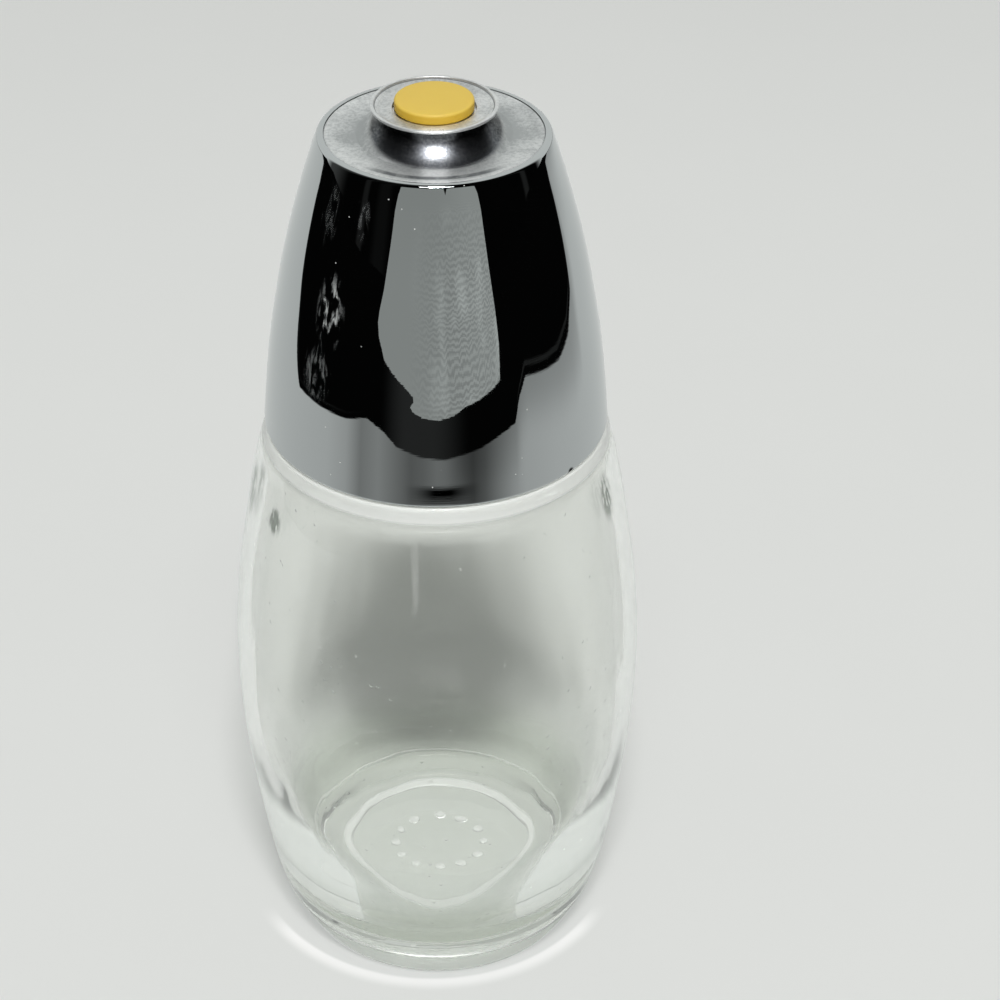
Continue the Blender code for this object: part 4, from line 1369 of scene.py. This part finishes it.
def build_panel(stage):
    """Stand the grey panel in front, where only reflections show it."""
    points = [Vector((x, -stage.panel_distance, z)) for x, z in panel_outline]
    panel = draw_chain("grey_panel", points, True)
    bpy.ops.mesh.edge_face_add()
    bpy.ops.object.mode_set(mode="OBJECT")
    panel.data.materials.append(panel_finish(stage))
    for kind in ("camera", "diffuse", "transmission", "shadow", "volume_scatter"):
        setattr(panel, "visible_" + kind, False)


def build_lamp(stage, name, width, depth, power):
    """An area lamp in front of the cap, aimed at its top."""
    clear_selection()
    bpy.ops.object.light_add(type="AREA")
    lamp = bpy.context.object
    lamp.name = name
    lamp.data.shape = "RECTANGLE"
    lamp.data.size = width
    lamp.data.size_y = depth
    lamp.data.energy = power
    target = Vector((0, 0, shell_high.z))
    forward = math.cos(stage.lamp_height)
    side, height = stage.lamp_side, stage.lamp_height
    towards = Vector((math.sin(side) * forward, -math.cos(side) * forward, math.sin(height)))
    lamp.location = target + towards * stage.lamp_distance
    lamp.rotation_euler = (-towards).to_track_quat("-Z", "Y").to_euler()


# Faint uprights of the dark room: place and half width in half turns from the front, and brightness
room_streaks = ((-0.349, 0.022, 0.016), (-0.250, 0.050, 0.006), (0.485, 0.024, 0.022))
streak_core = 0.25
# A broader pale upright at the left: where it comes in, and its brightness
left_streak_band = (-0.46, -0.60)
left_streak_level = 0.08
# How far back the room turns pale, its brightness in front, and what the glass sees of it there
back_wall_band = (0.26, 0.50)
front_level = 0.002
front_through_glass = 0.25


def build_world(stage):
    """Even room light. Polished surfaces see the room dark in front and pale behind."""
    world = bpy.data.worlds.new("studio")
    bpy.context.scene.world = world
    finish = Finish(world)
    across, away, _ = finish.axes(finish.node("TexCoord", output="Generated"))
    behind = away.over(*back_wall_band)
    camera = finish.node("LightPath", output="Is Camera Ray")
    through = finish.node("LightPath", output="Transmission Depth").least(1)
    mirror = mirror_rays(finish)
    plain = camera + (1 - camera) * (stage.room_light / stage.backdrop[0])
    glass_view = front_through_glass + behind * (1 - front_through_glass)
    plain = plain * (1 - through) + through * glass_view
    turn = across.maths("ARCTAN2", -1 * away) / math.pi
    streaks = turn.over(*left_streak_band) * left_streak_level + sum(
        turn.near(middle, width, width * streak_core) * level for middle, width, level in room_streaks)
    mirrored = (behind * (1 - front_level) + front_level).most(streaks + front_level)
    strength = plain * (1 - mirror) + mirror * mirrored
    background = finish.node("Background", sockets={"Color": stage.backdrop, "Strength": strength})
    finish.show(background, "OutputWorld")


def build_camera(stage):
    """Place the camera and aim it as the photograph was taken."""
    clear_selection()
    bpy.ops.object.camera_add(location=(0, -stage.camera_distance, stage.camera_height))
    camera = bpy.context.object
    camera.name = "photo_camera"
    yaw, pitch = stage.camera_yaw, stage.camera_pitch
    forward = Vector((math.sin(yaw) * math.cos(pitch), math.cos(yaw) * math.cos(pitch), -math.sin(pitch)))
    right = forward.cross(Vector((0, 0, 1))).normalized()
    up = right.cross(forward)
    turn = stage.camera_roll
    level = (right * math.cos(turn) + up * math.sin(turn), up * math.cos(turn) - right * math.sin(turn))
    camera.rotation_euler = Matrix((level[0], level[1], -forward)).transposed().to_euler()
    camera.data.lens = stage.lens
    camera.data.sensor_width = stage.film_width
    camera.data.clip_start = stage.nearest
    bpy.context.scene.camera = camera


class DISPENSER_OT_stage(bpy.types.Operator):
    """Set up the pale floor, soft lamp, world and camera"""
    bl_idname = "dispenser.stage"
    bl_label = "Stage"

    def execute(self, context):
        stage = context.scene.dispenser_stage
        build_floor(stage)
        build_panel(stage)
        build_lamp(stage, "soft_lamp", stage.lamp_width, stage.lamp_depth, stage.lamp_power)
        build_lamp(stage, "strip_lamp", stage.strip_width, stage.strip_depth, stage.strip_power)
        build_world(stage)
        build_camera(stage)
        context.scene.view_settings.view_transform = "Standard"
        return {"FINISHED"}


class DISPENSER_PT_pieces(bpy.types.Panel):
    """The dispenser's pieces, in the 3D view's sidebar"""
    bl_label = "Sugar dispenser"
    bl_idname = "DISPENSER_PT_pieces"
    bl_space_type = "VIEW_3D"
    bl_region_type = "UI"
    bl_category = "Dispenser"

    def draw(self, context):
        for operator in operators:
            self.layout.operator(operator.bl_idname)


operators = (
    DISPENSER_OT_stage,
    DISPENSER_OT_glass_jar,
    DISPENSER_OT_cap_shell,
    DISPENSER_OT_spout_plate,
    DISPENSER_OT_pour_flap,
    DISPENSER_OT_inner_parts,
)
classes = (*groups.values(), *operators, DISPENSER_PT_pieces)


def register():
    """Register the classes, and hang the groups of sizes on the scene."""
    for cls in classes:
        bpy.utils.register_class(cls)
    for name, group in groups.items():
        setattr(bpy.types.Scene, name, PointerProperty(type=group))


def unregister():
    """Take the groups of sizes and the classes away again."""
    for name in groups:
        delattr(bpy.types.Scene, name)
    for cls in reversed(classes):
        bpy.utils.unregister_class(cls)


def main():
    """Build the stage and the pieces."""
    register()
    bpy.ops.dispenser.stage()
    bpy.ops.dispenser.glass_jar()
    bpy.ops.dispenser.cap_shell()
    bpy.ops.dispenser.spout_plate()
    bpy.ops.dispenser.pour_flap()
    bpy.ops.dispenser.inner_parts()


if __name__ == "__main__":
    main()
